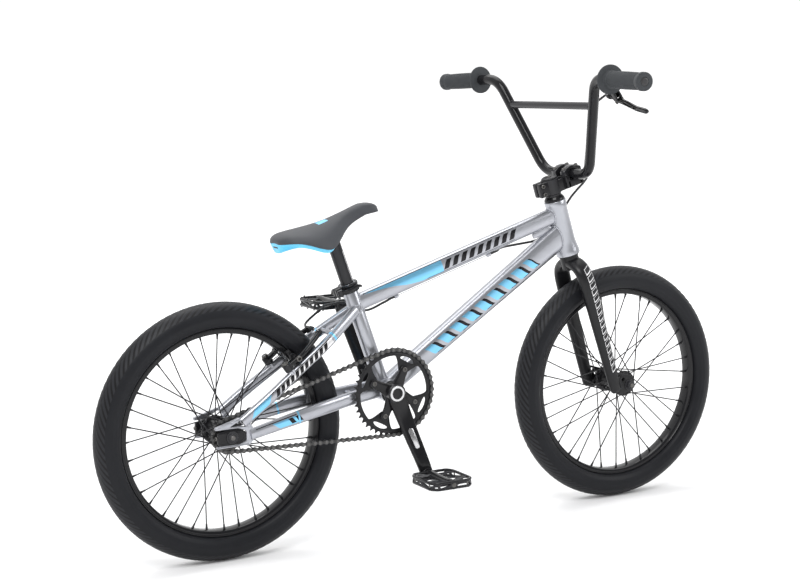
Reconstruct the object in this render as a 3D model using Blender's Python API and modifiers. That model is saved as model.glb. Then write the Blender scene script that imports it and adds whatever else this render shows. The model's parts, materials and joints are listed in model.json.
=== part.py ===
# BMX race bike with an alloy frame, 20 inch wheels and a rear rim brake.
# Metres, +X forward, +Y to the rider's left, +Z up; origin on the ground midway between the wheels.
import math

import bmesh
import bpy
from mathutils import Matrix, Vector

# Overall layout
WHEELBASE = 0.950
TYRE_RADIUS = 0.260
BB_FORWARD = 0.366
BB_RISE = 0.046
SEAT_ANGLE = math.radians(71.2)
HEAD_ANGLE = math.radians(74.0)
FORK_OFFSET = 0.036
FORK_LENGTH = 0.318
GAP = 0.0003
STEPS = 14

# Frame tubes
HEAD_LENGTH = 0.124
HEAD_RADIUS = 0.0225
HEAD_FLARE = 0.026
SEAT_TUBE_LENGTH = 0.241
SEAT_TUBE_RADIUS = 0.0159
TOP_TUBE_CLEARANCE = 0.0115
TOP_TUBE_HEAD_HEIGHT = 0.094
TOP_TUBE_DEPTH = 0.035
TOP_TUBE_WIDTH = 0.027
DOWN_TUBE_HEAD_HEIGHT = 0.050
DOWN_TUBE_REAR_DEPTH = 0.042
DOWN_TUBE_FRONT_DEPTH = 0.056
DOWN_TUBE_WIDTH = 0.034
STAY_DEPTH = 0.022
CHAIN_STAY_DEPTH = 0.028
STAY_WIDTH = 0.016
STAY_BELOW_TOP_TUBE = 0.008
BB_SHELL_RADIUS = 0.0235
BB_SHELL_HALF = 0.034
BB_BORE = 0.0205
DROPOUT_THICK = 0.005
REAR_HUB_HALF = 0.055
BRAKE_STUD_RADIUS = 0.005
BRAKE_STUD_LENGTH = 0.022
BRAKE_STUD_FROM_AXLE = 0.176
UPPER_BRIDGE_RADIUS = 0.006
LOWER_BRIDGE_RADIUS = 0.007
CABLE_STOP_RADIUS = 0.0055
CABLE_STOP_HALF = 0.005

# Headset, stem and fork
STEERER_RADIUS = 0.0143
BEARING_RADIUS = 0.0205
BEARING_HEIGHT = 0.008
COVER_HEIGHT = 0.010
SPACER_HEIGHT = 0.005
COVER_RADIUS = 0.0225
SPACER_RADIUS = 0.0178
STEM_HEIGHT = 0.034
STEM_REACH = 0.047
STEM_WIDTH = 0.052
STEM_BAR_RISE = 0.031
STEM_COLUMN_RADIUS = 0.020
STEM_NECK_WIDTH = 0.034
TOP_CAP_HEIGHT = 0.004
TOP_CAP_RADIUS = 0.0175
CROWN_RADIUS = 0.0205
CROWN_HEIGHT = 0.030
FORK_DROPOUT_THICK = 0.006
FRONT_HUB_HALF = 0.050
LEG_DEPTH_TOP = 0.038
LEG_DEPTH_FOOT = 0.027
LEG_WIDTH = 0.022

# Handlebar and controls
BAR_RADIUS = 0.0111
BAR_RISE = 0.212
BAR_HALF_WIDTH = 0.385
BAR_BACKSWEEP = 0.020
BAR_BASE_HALF = 0.073
BAR_STRAIGHT = 0.182
BAR_BEND_RADIUS = 0.054
BAR_CORNER_IN = 0.012
CROSSBAR_RADIUS = 0.0082
CROSSBAR_RISE = 0.153
GRIP_RADIUS = 0.0172
GRIP_LENGTH = 0.134
GRIP_FLANGE_RADIUS = 0.030
GRIP_CAP = 0.004
LEVER_CLAMP_RADIUS = 0.0155
LEVER_CLAMP_WIDTH = 0.016
LEVER_PIVOT_REACH = 0.050
LEVER_LENGTH = 0.094
LEVER_DROP = math.radians(58.0)
LEVER_PIN_RADIUS = 0.0025
LEVER_THICK = 0.007
ADJUSTER_RADIUS = 0.006

# Wheels
TYRE_HALF_WIDTH = 0.029
TYRE_WALL = 0.0032
RIM_RADIUS = 0.2095
RIM_INNER_RADIUS = 0.1975
RIM_HALF_WIDTH = 0.016
RIM_WALL = 0.002
WHEEL_STEPS = 30
SPOKES_PER_SIDE = 18
SPOKE_CROSSES = 3
SPOKE_RADIUS = 0.0011
AXLE_RADIUS = 0.0050
HUB_RADIUS = 0.0190
HUB_BORE = 0.0140
FLANGE_RADIUS = 0.0285
FLANGE_THICK = 0.004
FRONT_FLANGE_PLACE = 0.034
REAR_FLANGE_PLACE = 0.030
HUB_BEARING_WIDTH = 0.007
NUT_RADIUS = 0.0095
COLLAR_RADIUS = 0.0085
REAR_AXLE_END = 0.070
FRONT_AXLE_END = 0.068
TUG_THICK = 0.003

# Drive
CHAIN_PITCH = 0.0127
RING_TEETH = 44
COG_TEETH = 16
CHAIN_LINE = 0.045
CHAIN_HALF_DEPTH = 0.0042
CHAIN_INNER_HALF = 0.0017
CHAIN_PLATE = 0.0022
CHAIN_PIN_RADIUS = 0.0025
RING_ARC = 16
COG_ARC = 7
SPROCKET_THICK = 0.0026
RING_BOLT_CIRCLE = 0.052
RING_ARMS = 4
RING_HOLE = 0.044
RING_WINDOW_INNER = 0.053
RING_WINDOW_OUTER = 0.078
RING_WINDOW_HALF = 0.52
SPIDER_THICK = 0.005
COG_HALF_WIDTH = 0.007
CRANK_LENGTH = 0.180
CRANK_ANGLE = math.radians(-72.0)
SPINDLE_RADIUS = 0.0120
SPINDLE_BORE = 0.0090
CUP_RADIUS = 0.0215
CUP_WIDTH = 0.010
CRANK_BOSS_RADIUS = 0.0200
CRANK_BOSS_WIDTH = 0.018
CRANK_EYE_RADIUS = 0.0130
CRANK_EYE_PLACE = 0.072
CRANK_EYE_WIDTH = 0.013
PEDAL_LENGTH = 0.098
PEDAL_WIDTH = 0.104
PEDAL_THICK = 0.016
PEDAL_AXLE_RADIUS = 0.0050
PEDAL_THREAD_RADIUS = 0.0070
PEDAL_FLANGE_RADIUS = 0.0090
PEDAL_FLANGE = 0.004
PEDAL_BARREL_RADIUS = 0.0100
PEDAL_BAR = 0.009

# Seat
POST_RADIUS = 0.0136
POST_INSERT = 0.085
POST_SHOWN = 0.101
SADDLE_LENGTH = 0.236
SADDLE_HALF_WIDTH = 0.066
SADDLE_NOSE_HALF = 0.019
SADDLE_SLOPE = math.radians(16.3)
SADDLE_PIVOT_FROM_TAIL = 0.122
SADDLE_PIVOT_RADIUS = 0.0150
SADDLE_SHELL = 0.005
SADDLE_PAD = 0.020
SADDLE_SKIRT = 0.0215
SADDLE_STERN = 0.010
SADDLE_SEAM = 0.0018
SADDLE_SHARES = (0.0, 0.06, 0.15, 0.28, 0.40, 0.52, 0.64, 0.76, 0.88, 0.96, 1.0)
POST_HEAD_HALF = 0.014
CLAMP_HEIGHT = 0.018
CLAMP_WALL = 0.005
SKEWER_RADIUS = 0.0025
SKEWER_NUT = 0.006
EAR_WIDTH = 0.022
CAM_RADIUS = 0.0060
CAM_HALF = 0.0065

# Rear brake
ARM_LENGTH = 0.104
ARM_DEPTH = 0.010
ARM_WIDTH = 0.016
PAD_LENGTH = 0.046
PAD_HEIGHT = 0.008
PAD_FROM_RIM_EDGE = 0.002
PAD_CLEARANCE = 0.002
PAD_THICK = 0.009
PAD_POST_RADIUS = 0.003
ARM_BOSS_RADIUS = 0.0095
ARM_BOSS_HEIGHT = 0.016
CABLE_RADIUS = 0.0008
HOUSING_RADIUS = 0.0025

RIGHT = -1
LEFT = 1
SIDES = {"left": LEFT, "right": RIGHT}
ACROSS = Vector((0.0, 1.0, 0.0))
AHEAD = Vector((1.0, 0.0, 0.0))

rear_axle = Vector((-WHEELBASE / 2, 0.0, TYRE_RADIUS))
front_axle = Vector((WHEELBASE / 2, 0.0, TYRE_RADIUS))
bottom_bracket = rear_axle + Vector((BB_FORWARD, 0.0, BB_RISE))
seat_up = Vector((-math.cos(SEAT_ANGLE), 0.0, math.sin(SEAT_ANGLE)))
steer_up = Vector((-math.cos(HEAD_ANGLE), 0.0, math.sin(HEAD_ANGLE)))
steer_ahead = Vector((math.sin(HEAD_ANGLE), 0.0, math.cos(HEAD_ANGLE)))
steer_foot = front_axle - steer_ahead * FORK_OFFSET
head_low = steer_foot + steer_up * FORK_LENGTH
stem_base = HEAD_LENGTH + GAP + COVER_HEIGHT + SPACER_HEIGHT + GAP
bar_height = stem_base + STEM_BAR_RISE


def on_steering(height, ahead=0.0, side=0.0):
    return head_low + steer_up * height + steer_ahead * ahead + ACROSS * side


def on_seat_tube(height, side=0.0):
    return bottom_bracket + seat_up * height + ACROSS * side


def from_rear_axle(ahead, side, above):
    return rear_axle + Vector((ahead, side, above))


bar_centre = on_steering(bar_height, STEM_REACH)
crank_ahead = Vector((math.cos(CRANK_ANGLE), 0.0, math.sin(CRANK_ANGLE)))
ring_radius = CHAIN_PITCH / (2 * math.sin(math.pi / RING_TEETH))
cog_radius = CHAIN_PITCH / (2 * math.sin(math.pi / COG_TEETH))

# Collections for the bike's pieces and for the shapes that cut them
for old in list(bpy.data.objects):
    bpy.data.objects.remove(old, do_unlink=True)
bike = bpy.data.collections.new("bmx_bike")
cutters = bpy.data.collections.new("cutters")
bpy.context.scene.collection.children.link(bike)
bpy.context.scene.collection.children.link(cutters)


def make_finish(name, colour, roughness, metallic):
    finish = bpy.data.materials.new(name)
    finish.use_nodes = True
    shader = finish.node_tree.nodes["Principled BSDF"]
    shader.inputs["Base Color"].default_value = (*colour, 1.0)
    shader.inputs["Roughness"].default_value = roughness
    shader.inputs["Metallic"].default_value = metallic
    return finish


silver = make_finish("silver_alloy", (0.62, 0.61, 0.64), 0.32, 0.9)
black_alloy = make_finish("black_alloy", (0.02, 0.02, 0.022), 0.35, 0.6)
black_steel = make_finish("black_steel", (0.03, 0.03, 0.032), 0.42, 0.8)
gunmetal = make_finish("gunmetal", (0.10, 0.095, 0.09), 0.45, 0.9)
rubber = make_finish("tyre_rubber", (0.035, 0.037, 0.042), 0.8, 0.0)
grip_rubber = make_finish("grip_rubber", (0.06, 0.065, 0.07), 0.75, 0.0)
saddle_cloth = make_finish("saddle_cover", (0.08, 0.085, 0.095), 0.7, 0.0)
blue_plastic = make_finish("blue_plastic", (0.13, 0.56, 0.85), 0.35, 0.0)
black_plastic = make_finish("black_plastic", (0.025, 0.025, 0.027), 0.5, 0.0)


def make_body(name, place):
    body = bpy.data.objects.new(name, None)
    body.empty_display_size = 0.05
    body.matrix_basis = Matrix.Translation(place)
    bike.objects.link(body)
    return body


def axis_matrix(origin, axis, sideways=ACROSS):
    up = axis.normalized()
    if abs(up.dot(sideways)) > 0.99:
        sideways = AHEAD
    ahead = sideways.cross(up).normalized()
    across = up.cross(ahead)
    turn = Matrix((ahead, across, up)).transposed().to_4x4()
    return Matrix.Translation(origin) @ turn


def object_of(mesh):
    piece = bpy.data.objects.new("shape", mesh)
    cutters.objects.link(piece)
    piece.hide_render = True
    piece.display_type = "WIRE"
    return piece


def object_from(bm):
    bmesh.ops.recalc_face_normals(bm, faces=bm.faces)
    mesh = bpy.data.meshes.new("shape")
    bm.to_mesh(mesh)
    bm.free()
    return object_of(mesh)


def evaluated_mesh(source):
    bpy.context.view_layer.update()
    graph = bpy.context.evaluated_depsgraph_get()
    return bpy.data.meshes.new_from_object(source.evaluated_get(graph))


def solid_from(source, matrix):
    mesh = evaluated_mesh(source)
    bpy.data.objects.remove(source, do_unlink=True)
    bm = bmesh.new()
    bm.from_mesh(mesh)
    bmesh.ops.remove_doubles(bm, verts=bm.verts, dist=0.00001)
    bmesh.ops.transform(bm, matrix=matrix, verts=bm.verts)
    return object_from(bm)


def turned(profile, origin, axis, hollow=False, steps=STEPS):
    mesh = bpy.data.meshes.new("profile")
    count = len(profile)
    edges = [(i, i + 1) for i in range(count - 1)]
    if hollow:
        edges.append((count - 1, 0))
    mesh.from_pydata([(radius, 0.0, height) for radius, height in profile], edges, [])
    piece = object_of(mesh)
    screw = piece.modifiers.new("turn", "SCREW")
    screw.steps = steps
    screw.render_steps = steps
    screw.use_merge_vertices = True
    screw.merge_threshold = 0.00005
    return solid_from(piece, axis_matrix(origin, axis))


def rod(start, end, radius, steps=STEPS):
    length = (end - start).length
    profile = [(0.0, length), (radius, length), (radius, 0.0), (0.0, 0.0)]
    return turned(profile, start, end - start, steps=steps)


def running_bore(radius, steps=STEPS):
    # A faceted bore whose flats clear a shaft of this radius as it turns
    return (radius + GAP) / math.cos(math.pi / steps)


def sleeve(start, end, radius, bore, steps=STEPS):
    length = (end - start).length
    profile = [(radius, length), (radius, 0.0), (bore, 0.0), (bore, length)]
    return turned(profile, start, end - start, hollow=True, steps=steps)


def plate(outlines, thickness, matrix):
    curve = bpy.data.curves.new("outline", "CURVE")
    curve.dimensions = "2D"
    curve.fill_mode = "BOTH"
    curve.extrude = thickness / 2
    for outline in outlines:
        spline = curve.splines.new("POLY")
        spline.points.add(len(outline) - 1)
        for point, (x, y) in zip(spline.points, outline):
            point.co = (x, y, 0.0, 1.0)
        spline.use_cyclic_u = True
    return solid_from(object_of(curve), matrix)


def side_plate(outlines, thickness, centre):
    turn = Matrix.Rotation(math.radians(90), 4, "X")
    return plate(outlines, thickness, Matrix.Translation(centre) @ turn)


def tube(points, radius, resolution=2):
    curve = bpy.data.curves.new("route", "CURVE")
    curve.dimensions = "3D"
    curve.bevel_depth = radius
    curve.bevel_resolution = resolution
    curve.use_fill_caps = True
    spline = curve.splines.new("POLY")
    spline.points.add(len(points) - 1)
    for point, place in zip(spline.points, points):
        point.co = (*place, 1.0)
    return solid_from(object_of(curve), Matrix.Identity(4))


def loft(rings):
    bm = bmesh.new()
    layers = [[bm.verts.new(point) for point in ring] for ring in rings]
    count = len(rings[0])
    for lower, upper in zip(layers, layers[1:]):
        for i in range(count):
            j = (i + 1) % count
            bm.faces.new((lower[i], lower[j], upper[j], upper[i]))
    bm.faces.new(layers[0])
    bm.faces.new(layers[-1])
    return object_from(bm)


def oval_ring(centre, across, up, half_across, half_up, count=12, fullness=1.0):
    ring = []
    for i in range(count):
        angle = 2 * math.pi * (i + 0.5) / count
        c, s = math.cos(angle), math.sin(angle)
        x = math.copysign(abs(c) ** fullness, c) * half_across
        y = math.copysign(abs(s) ** fullness, s) * half_up
        ring.append(centre + across * x + up * y)
    return ring


def oval_tube(sections, count=12, fullness=0.8):
    # Each section is (centre, width, depth); the depth lies square to the path and to its width
    rings = []
    for i, (centre, width, depth) in enumerate(sections):
        before = sections[max(i - 1, 0)][0]
        after = sections[min(i + 1, len(sections) - 1)][0]
        along = (after - before).normalized()
        up = along.cross(ACROSS).normalized()
        across = up.cross(along)
        rings.append(oval_ring(centre, across, up, width / 2, depth / 2, count, fullness))
    return loft(rings)


def block(size, matrix):
    bm = bmesh.new()
    bmesh.ops.create_cube(bm, size=1.0)
    bmesh.ops.scale(bm, vec=size, verts=bm.verts)
    bmesh.ops.transform(bm, matrix=matrix, verts=bm.verts)
    return object_from(bm)


def boolean(base, tool, operation):
    cut = base.modifiers.new("cut", "BOOLEAN")
    cut.operation = operation
    cut.object = tool
    cut.solver = "EXACT"
    mesh = evaluated_mesh(base)
    base.modifiers.clear()
    bm = bmesh.new()
    bm.from_mesh(mesh)
    bmesh.ops.remove_doubles(bm, verts=bm.verts, dist=0.000002)
    bmesh.ops.dissolve_degenerate(bm, edges=bm.edges, dist=0.000002)
    bmesh.ops.recalc_face_normals(bm, faces=bm.faces)
    bm.to_mesh(mesh)
    bm.free()
    base.data = mesh
    bpy.data.objects.remove(tool, do_unlink=True)
    return base


def joined(base, *tools):
    for tool in tools:
        boolean(base, tool, "UNION")
    return base


def cut_from(base, *tools):
    for tool in tools:
        boolean(base, tool, "DIFFERENCE")
    return base


def finish_piece(piece, name, body, finish):
    piece.name = name
    piece.data.name = name
    cutters.objects.unlink(piece)
    bike.objects.link(piece)
    piece.hide_render = False
    piece.display_type = "TEXTURED"
    piece.data.transform(body.matrix_basis.inverted())
    piece.parent = body
    piece.data.materials.clear()
    piece.data.materials.append(finish)
    piece.data.shade_smooth()
    piece.data.set_sharp_from_angle(angle=math.radians(35))
    return piece


def arc(centre, radius, start, end, count):
    steps = [start + (end - start) * i / count for i in range(count + 1)]
    return [(centre[0] + radius * math.cos(a), centre[1] + radius * math.sin(a)) for a in steps]


def rounded_route(corners, radius, steps=5):
    # A polyline with its inner corners turned into arcs of about the given radius
    route = [corners[0]]
    for before, corner, after in zip(corners, corners[1:], corners[2:]):
        inward = (before - corner).normalized()
        outward = (after - corner).normalized()
        turn = math.pi - inward.angle(outward)
        reach = radius * math.tan(turn / 2)
        start = corner + inward * reach
        end = corner + outward * reach
        for i in range(steps + 1):
            t = i / steps
            route.append(start * (1 - t) ** 2 + corner * 2 * t * (1 - t) + end * t ** 2)
    route.append(corners[-1])
    return route


def smooth_route(points, steps):
    # A Catmull-Rom curve through the chosen points
    route = []
    padded = [points[0] * 2 - points[1], *points, points[-1] * 2 - points[-2]]
    for a, b, c, d in zip(padded, padded[1:], padded[2:], padded[3:]):
        for i in range(steps):
            t = i / steps
            route.append(0.5 * (b * 2 + (c - a) * t + (a * 2 - b * 5 + c * 4 - d) * t ** 2
                                + (b * 3 - a - c * 3 + d) * t ** 3))
    route.append(points[-1])
    return route


frame_body = make_body("frame_body", Vector((0.0, 0.0, 0.0)))
steering_body = make_body("steering_body", head_low)
front_wheel_body = make_body("front_wheel_body", front_axle)
rear_wheel_body = make_body("rear_wheel_body", rear_axle)
freewheel_body = make_body("freewheel_body", rear_axle)
crank_body = make_body("crank_body", bottom_bracket)
seat_post_body = make_body("seat_post_body", on_seat_tube(SEAT_TUBE_LENGTH))

# Brake stud line: the studs stand square to the seat stays, above the rim
stay_foot = from_rear_axle(0.024, 0.0, 0.026)
top_tube_height = SEAT_TUBE_LENGTH - CLAMP_HEIGHT - TOP_TUBE_DEPTH / 2 - TOP_TUBE_CLEARANCE
stay_head = on_seat_tube(top_tube_height - STAY_BELOW_TOP_TUBE)
stay_along = (stay_head - stay_foot).normalized()
stay_out = stay_along.cross(ACROSS) * -1
if stay_out.z < 0:
    stay_out = stay_out * -1
dropout_place = REAR_HUB_HALF + GAP + DROPOUT_THICK / 2


def on_stay(distance, side, out=0.0):
    return rear_axle + stay_along * distance + stay_out * out + ACROSS * side


def stay_side(distance):
    # How far the seat stay's centre line lies from the middle of the bike
    span = [(0.035, dropout_place), (0.110, dropout_place), (0.200, 0.048), (0.270, 0.041), (0.372, 0.010)]
    for (low, low_side), (high, high_side) in zip(span, span[1:]):
        if distance <= high:
            return low_side + (high_side - low_side) * (distance - low) / (high - low)
    return span[-1][1]


stay_lift = (stay_foot - rear_axle).dot(stay_out)
stud_side = stay_side(BRAKE_STUD_FROM_AXLE)


def make_seat_stay(side):
    sections = []
    for distance in (0.035, 0.110, 0.200, 0.270, 0.372):
        centre = on_stay(distance, side * stay_side(distance), stay_lift)
        sections.append((centre, STAY_WIDTH, STAY_DEPTH))
    return oval_tube(sections)


def make_chain_stay(side):
    path = [(0.040, dropout_place, 0.000), (0.180, 0.050, 0.028), (0.235, 0.040, 0.036),
            (0.275, 0.031, 0.041)]
    depths = (STAY_DEPTH, CHAIN_STAY_DEPTH, CHAIN_STAY_DEPTH, CHAIN_STAY_DEPTH)
    sections = [(from_rear_axle(x, side * y, z), STAY_WIDTH, depth)
                for (x, y, z), depth in zip(path, depths)]
    sections.append((bottom_bracket + Vector((-0.010, side * 0.022, 0.004)), STAY_WIDTH,
                     CHAIN_STAY_DEPTH))
    return oval_tube(sections)


slot_half = AXLE_RADIUS + 0.0005


def make_dropout(side):
    slot_end = arc((0.004, 0.0), slot_half, -math.pi / 2, math.pi / 2, 6)
    outline = [(-0.030, 0.021), (0.016, 0.036), (0.034, 0.036), (0.046, 0.014), (0.046, -0.010),
               (0.038, -0.016), (-0.027, -0.016), (-0.027, -slot_half), *slot_end,
               (-0.030, slot_half)]
    return side_plate([outline], DROPOUT_THICK, rear_axle + ACROSS * side * dropout_place)


def make_frame():
    head = turned([(0.0, HEAD_LENGTH), (HEAD_RADIUS + 0.001, HEAD_LENGTH), (HEAD_RADIUS, 0.108),
                   (HEAD_RADIUS, 0.030), (HEAD_FLARE, 0.008), (HEAD_FLARE, 0.0), (0.0, 0.0)],
                  head_low, steer_up)
    seat_tube = rod(bottom_bracket, on_seat_tube(SEAT_TUBE_LENGTH), SEAT_TUBE_RADIUS)
    shell = rod(bottom_bracket - ACROSS * BB_SHELL_HALF, bottom_bracket + ACROSS * BB_SHELL_HALF,
                BB_SHELL_RADIUS)
    top_rear, top_front = on_seat_tube(top_tube_height), on_steering(TOP_TUBE_HEAD_HEIGHT)
    top_tube = oval_tube([(top_rear, TOP_TUBE_WIDTH, TOP_TUBE_DEPTH),
                          (top_front, TOP_TUBE_WIDTH, TOP_TUBE_DEPTH)], 12, 0.7)
    down_front = on_steering(DOWN_TUBE_HEAD_HEIGHT)
    down_tube = oval_tube([(bottom_bracket, DOWN_TUBE_WIDTH, DOWN_TUBE_REAR_DEPTH),
                           (down_front, DOWN_TUBE_WIDTH, DOWN_TUBE_FRONT_DEPTH)], 12, 0.7)
    frame = joined(head, top_tube, down_tube, seat_tube, shell)
    for side in SIDES.values():
        stud_root = on_stay(BRAKE_STUD_FROM_AXLE, side * stud_side, stay_lift)
        stud = rod(stud_root, stud_root + stay_out * (STAY_DEPTH / 2 + BRAKE_STUD_LENGTH),
                   BRAKE_STUD_RADIUS, 12)
        joined(frame, make_seat_stay(side), make_chain_stay(side), make_dropout(side), stud)
    bridge_place = on_stay(0.300, 0.0, stay_lift)
    bridge_half = stay_side(0.300)
    upper_bridge = rod(bridge_place - ACROSS * bridge_half, bridge_place + ACROSS * bridge_half,
                       UPPER_BRIDGE_RADIUS, 12)
    lower_place = from_rear_axle(0.292, 0.0, 0.042)
    lower_bridge = rod(lower_place - ACROSS * 0.028, lower_place + ACROSS * 0.028, LOWER_BRIDGE_RADIUS, 12)
    joined(frame, upper_bridge, lower_bridge)
    for stop in cable_stops:
        boss = rod(stop - top_along * CABLE_STOP_HALF, stop + top_along * CABLE_STOP_HALF,
                   CABLE_STOP_RADIUS, 12)
        joined(frame, boss)
    head_bore = turned([(0.0, HEAD_LENGTH + 0.01), (BEARING_RADIUS + GAP, HEAD_LENGTH + 0.01),
                        (BEARING_RADIUS + GAP, HEAD_LENGTH - BEARING_HEIGHT - GAP),
                        (STEERER_RADIUS + 0.002, HEAD_LENGTH - BEARING_HEIGHT - GAP),
                        (STEERER_RADIUS + 0.002, BEARING_HEIGHT + GAP),
                        (BEARING_RADIUS + GAP, BEARING_HEIGHT + GAP),
                        (BEARING_RADIUS + GAP, -0.01), (0.0, -0.01)], head_low, steer_up)
    post_bore = rod(on_seat_tube(SEAT_TUBE_LENGTH - POST_INSERT - 0.060),
                    on_seat_tube(SEAT_TUBE_LENGTH + 0.02), POST_RADIUS + GAP)
    shell_bore = rod(bottom_bracket - ACROSS * 0.06, bottom_bracket + ACROSS * 0.06, BB_BORE)
    cut_from(frame, head_bore, post_bore, shell_bore)
    return finish_piece(frame, "frame", frame_body, silver)


# Brake cable line under the top tube, on the left of its lower edge
top_along = (on_steering(TOP_TUBE_HEAD_HEIGHT) - on_seat_tube(top_tube_height)).normalized()
top_under = top_along.cross(ACROSS)
if top_under.z > 0:
    top_under = top_under * -1
cable_line = on_seat_tube(top_tube_height) + top_under * (TOP_TUBE_DEPTH / 2 + HOUSING_RADIUS + 0.001)
cable_stops = [cable_line + top_along * distance for distance in (0.095, 0.330)]


def make_headset():
    upper = on_steering(HEAD_LENGTH - BEARING_HEIGHT)
    bearing_bore = running_bore(STEERER_RADIUS)
    finish_piece(sleeve(upper, on_steering(HEAD_LENGTH), BEARING_RADIUS, bearing_bore),
                 "headset_upper_bearing", frame_body, black_steel)
    finish_piece(sleeve(on_steering(0.0), on_steering(BEARING_HEIGHT), BEARING_RADIUS, bearing_bore),
                 "headset_lower_bearing", frame_body, black_steel)
    cover_foot = HEAD_LENGTH + GAP
    top = COVER_HEIGHT + SPACER_HEIGHT
    cover = turned([(SPACER_RADIUS, top), (SPACER_RADIUS, COVER_HEIGHT), (COVER_RADIUS, 0.003),
                    (COVER_RADIUS, 0.0), (bearing_bore, 0.0), (bearing_bore, top)],
                   on_steering(cover_foot), steer_up, hollow=True)
    finish_piece(cover, "headset_cover", steering_body, black_alloy)


fork_dropout_place = FRONT_HUB_HALF + GAP + FORK_DROPOUT_THICK / 2


def make_fork():
    steerer_top = stem_base + STEM_HEIGHT - 0.002
    fork = turned([(0.0, steerer_top), (STEERER_RADIUS, steerer_top), (STEERER_RADIUS, -GAP),
                   (CROWN_RADIUS, -GAP), (CROWN_RADIUS, -CROWN_HEIGHT), (0.0, -CROWN_HEIGHT)],
                  head_low, steer_up)
    foot = -FORK_LENGTH
    for side in SIDES.values():
        leg_side = side * fork_dropout_place
        sections = [(on_steering(-0.018, 0.0, side * 0.004), LEG_WIDTH, LEG_DEPTH_TOP),
                    (on_steering(-0.023, 0.0, side * 0.024), LEG_WIDTH, LEG_DEPTH_TOP),
                    (on_steering(-0.042, 0.0, side * 0.043), LEG_WIDTH, LEG_DEPTH_TOP),
                    (on_steering(-0.084, 0.0, side * 0.049), LEG_WIDTH, LEG_DEPTH_TOP),
                    (on_steering(foot + 0.016, 0.0, leg_side), LEG_WIDTH - 0.004, LEG_DEPTH_FOOT),
                    (on_steering(foot - 0.002, 0.0, leg_side), LEG_WIDTH - 0.010, LEG_DEPTH_FOOT - 0.006)]
        joined(fork, oval_tube(sections, 10, 0.9))
        reach = FORK_OFFSET + 0.014
        outline = [(0.0, 0.044), (0.010, 0.040), (reach - 0.004, 0.016),
                   *arc((FORK_OFFSET, 0.0), 0.014, 0.5, -1.6, 5), (0.004, -0.010), (0.0, 0.0)]
        matrix = Matrix((steer_ahead, steer_up, -ACROSS)).transposed().to_4x4()
        dropout = plate([outline], FORK_DROPOUT_THICK,
                        Matrix.Translation(on_steering(foot, 0.0, leg_side)) @ matrix)
        joined(fork, dropout)
    axle_hole = rod(front_axle - ACROSS * 0.08, front_axle + ACROSS * 0.08, AXLE_RADIUS + GAP, 16)
    cut_from(fork, axle_hole)
    return finish_piece(fork, "fork", steering_body, black_alloy)


def make_stem():
    column = rod(on_steering(stem_base), on_steering(stem_base + STEM_HEIGHT), STEM_COLUMN_RADIUS)
    frame_turn = Matrix((steer_ahead, ACROSS, steer_up)).transposed().to_4x4()
    split = bar_height
    low_height = split - GAP - stem_base
    clamp_half = BAR_RADIUS + 0.011
    rear_block = block((0.022, 0.030, STEM_HEIGHT - 0.003),
                       Matrix.Translation(on_steering(stem_base + STEM_HEIGHT / 2, -0.024)) @ frame_turn)
    neck = block((STEM_REACH, STEM_NECK_WIDTH, low_height - 0.003),
                 Matrix.Translation(on_steering(stem_base + low_height / 2, STEM_REACH / 2)) @ frame_turn)
    seat_height = low_height - 0.004
    seat = block((clamp_half * 2, STEM_WIDTH, seat_height),
                 Matrix.Translation(on_steering(split - GAP - seat_height / 2, STEM_REACH)) @ frame_turn)
    stem = joined(column, rear_block, neck, seat)
    bar_hole = rod(bar_centre - ACROSS * 0.06, bar_centre + ACROSS * 0.06, BAR_RADIUS + GAP)
    steerer_hole = rod(on_steering(stem_base - 0.01), on_steering(stem_base + STEM_HEIGHT + 0.01),
                       STEERER_RADIUS + GAP)
    pinch = block((0.040, 0.002, STEM_HEIGHT + 0.01),
                  Matrix.Translation(on_steering(stem_base + STEM_HEIGHT / 2, -0.032)) @ frame_turn)
    cut_from(stem, bar_hole, steerer_hole, pinch)
    finish_piece(stem, "stem", steering_body, black_alloy)
    cap_height = BAR_RADIUS + 0.007
    cap = block((clamp_half * 2, STEM_WIDTH, cap_height),
                Matrix.Translation(on_steering(split + GAP + cap_height / 2, STEM_REACH)) @ frame_turn)
    cap_hole = rod(bar_centre - ACROSS * 0.06, bar_centre + ACROSS * 0.06, BAR_RADIUS + GAP)
    finish_piece(cut_from(cap, cap_hole), "stem_clamp_cap", steering_body, black_alloy)
    top = stem_base + STEM_HEIGHT + GAP
    top_cap = turned([(0.0, TOP_CAP_HEIGHT), (TOP_CAP_RADIUS - 0.0025, TOP_CAP_HEIGHT),
                      (TOP_CAP_RADIUS, TOP_CAP_HEIGHT / 2), (TOP_CAP_RADIUS, 0.0), (0.0, 0.0)],
                     on_steering(top), steer_up)
    finish_piece(top_cap, "headset_top_cap", steering_body, black_alloy)


def bar_point(rise, side, back=0.0):
    return bar_centre + steer_up * rise + ACROSS * side - steer_ahead * back


def bar_end_line(side):
    inner = bar_point(BAR_RISE, side * (BAR_HALF_WIDTH - BAR_STRAIGHT))
    outer = bar_point(BAR_RISE, side * BAR_HALF_WIDTH, BAR_BACKSWEEP)
    return inner, outer, (outer - inner).normalized()


def make_handlebar():
    right_inner, right_outer, right_along = bar_end_line(RIGHT)
    left_inner, left_outer, left_along = bar_end_line(LEFT)
    corners = [right_outer, right_inner - right_along * BAR_CORNER_IN,
               bar_point(0.0, -BAR_BASE_HALF - BAR_CORNER_IN), bar_point(0.0, BAR_BASE_HALF + BAR_CORNER_IN),
               left_inner - left_along * BAR_CORNER_IN, left_outer]
    bar = tube(rounded_route(corners, BAR_BEND_RADIUS, 5), BAR_RADIUS, 2)
    lean = (corners[4] - corners[3]).normalized()
    reach = corners[3] + lean * (CROSSBAR_RISE / lean.dot(steer_up))
    crossbar = rod(Vector((reach.x, -reach.y, reach.z)), reach, CROSSBAR_RADIUS, 14)
    return finish_piece(joined(bar, crossbar), "handlebar", steering_body, black_alloy)


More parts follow.
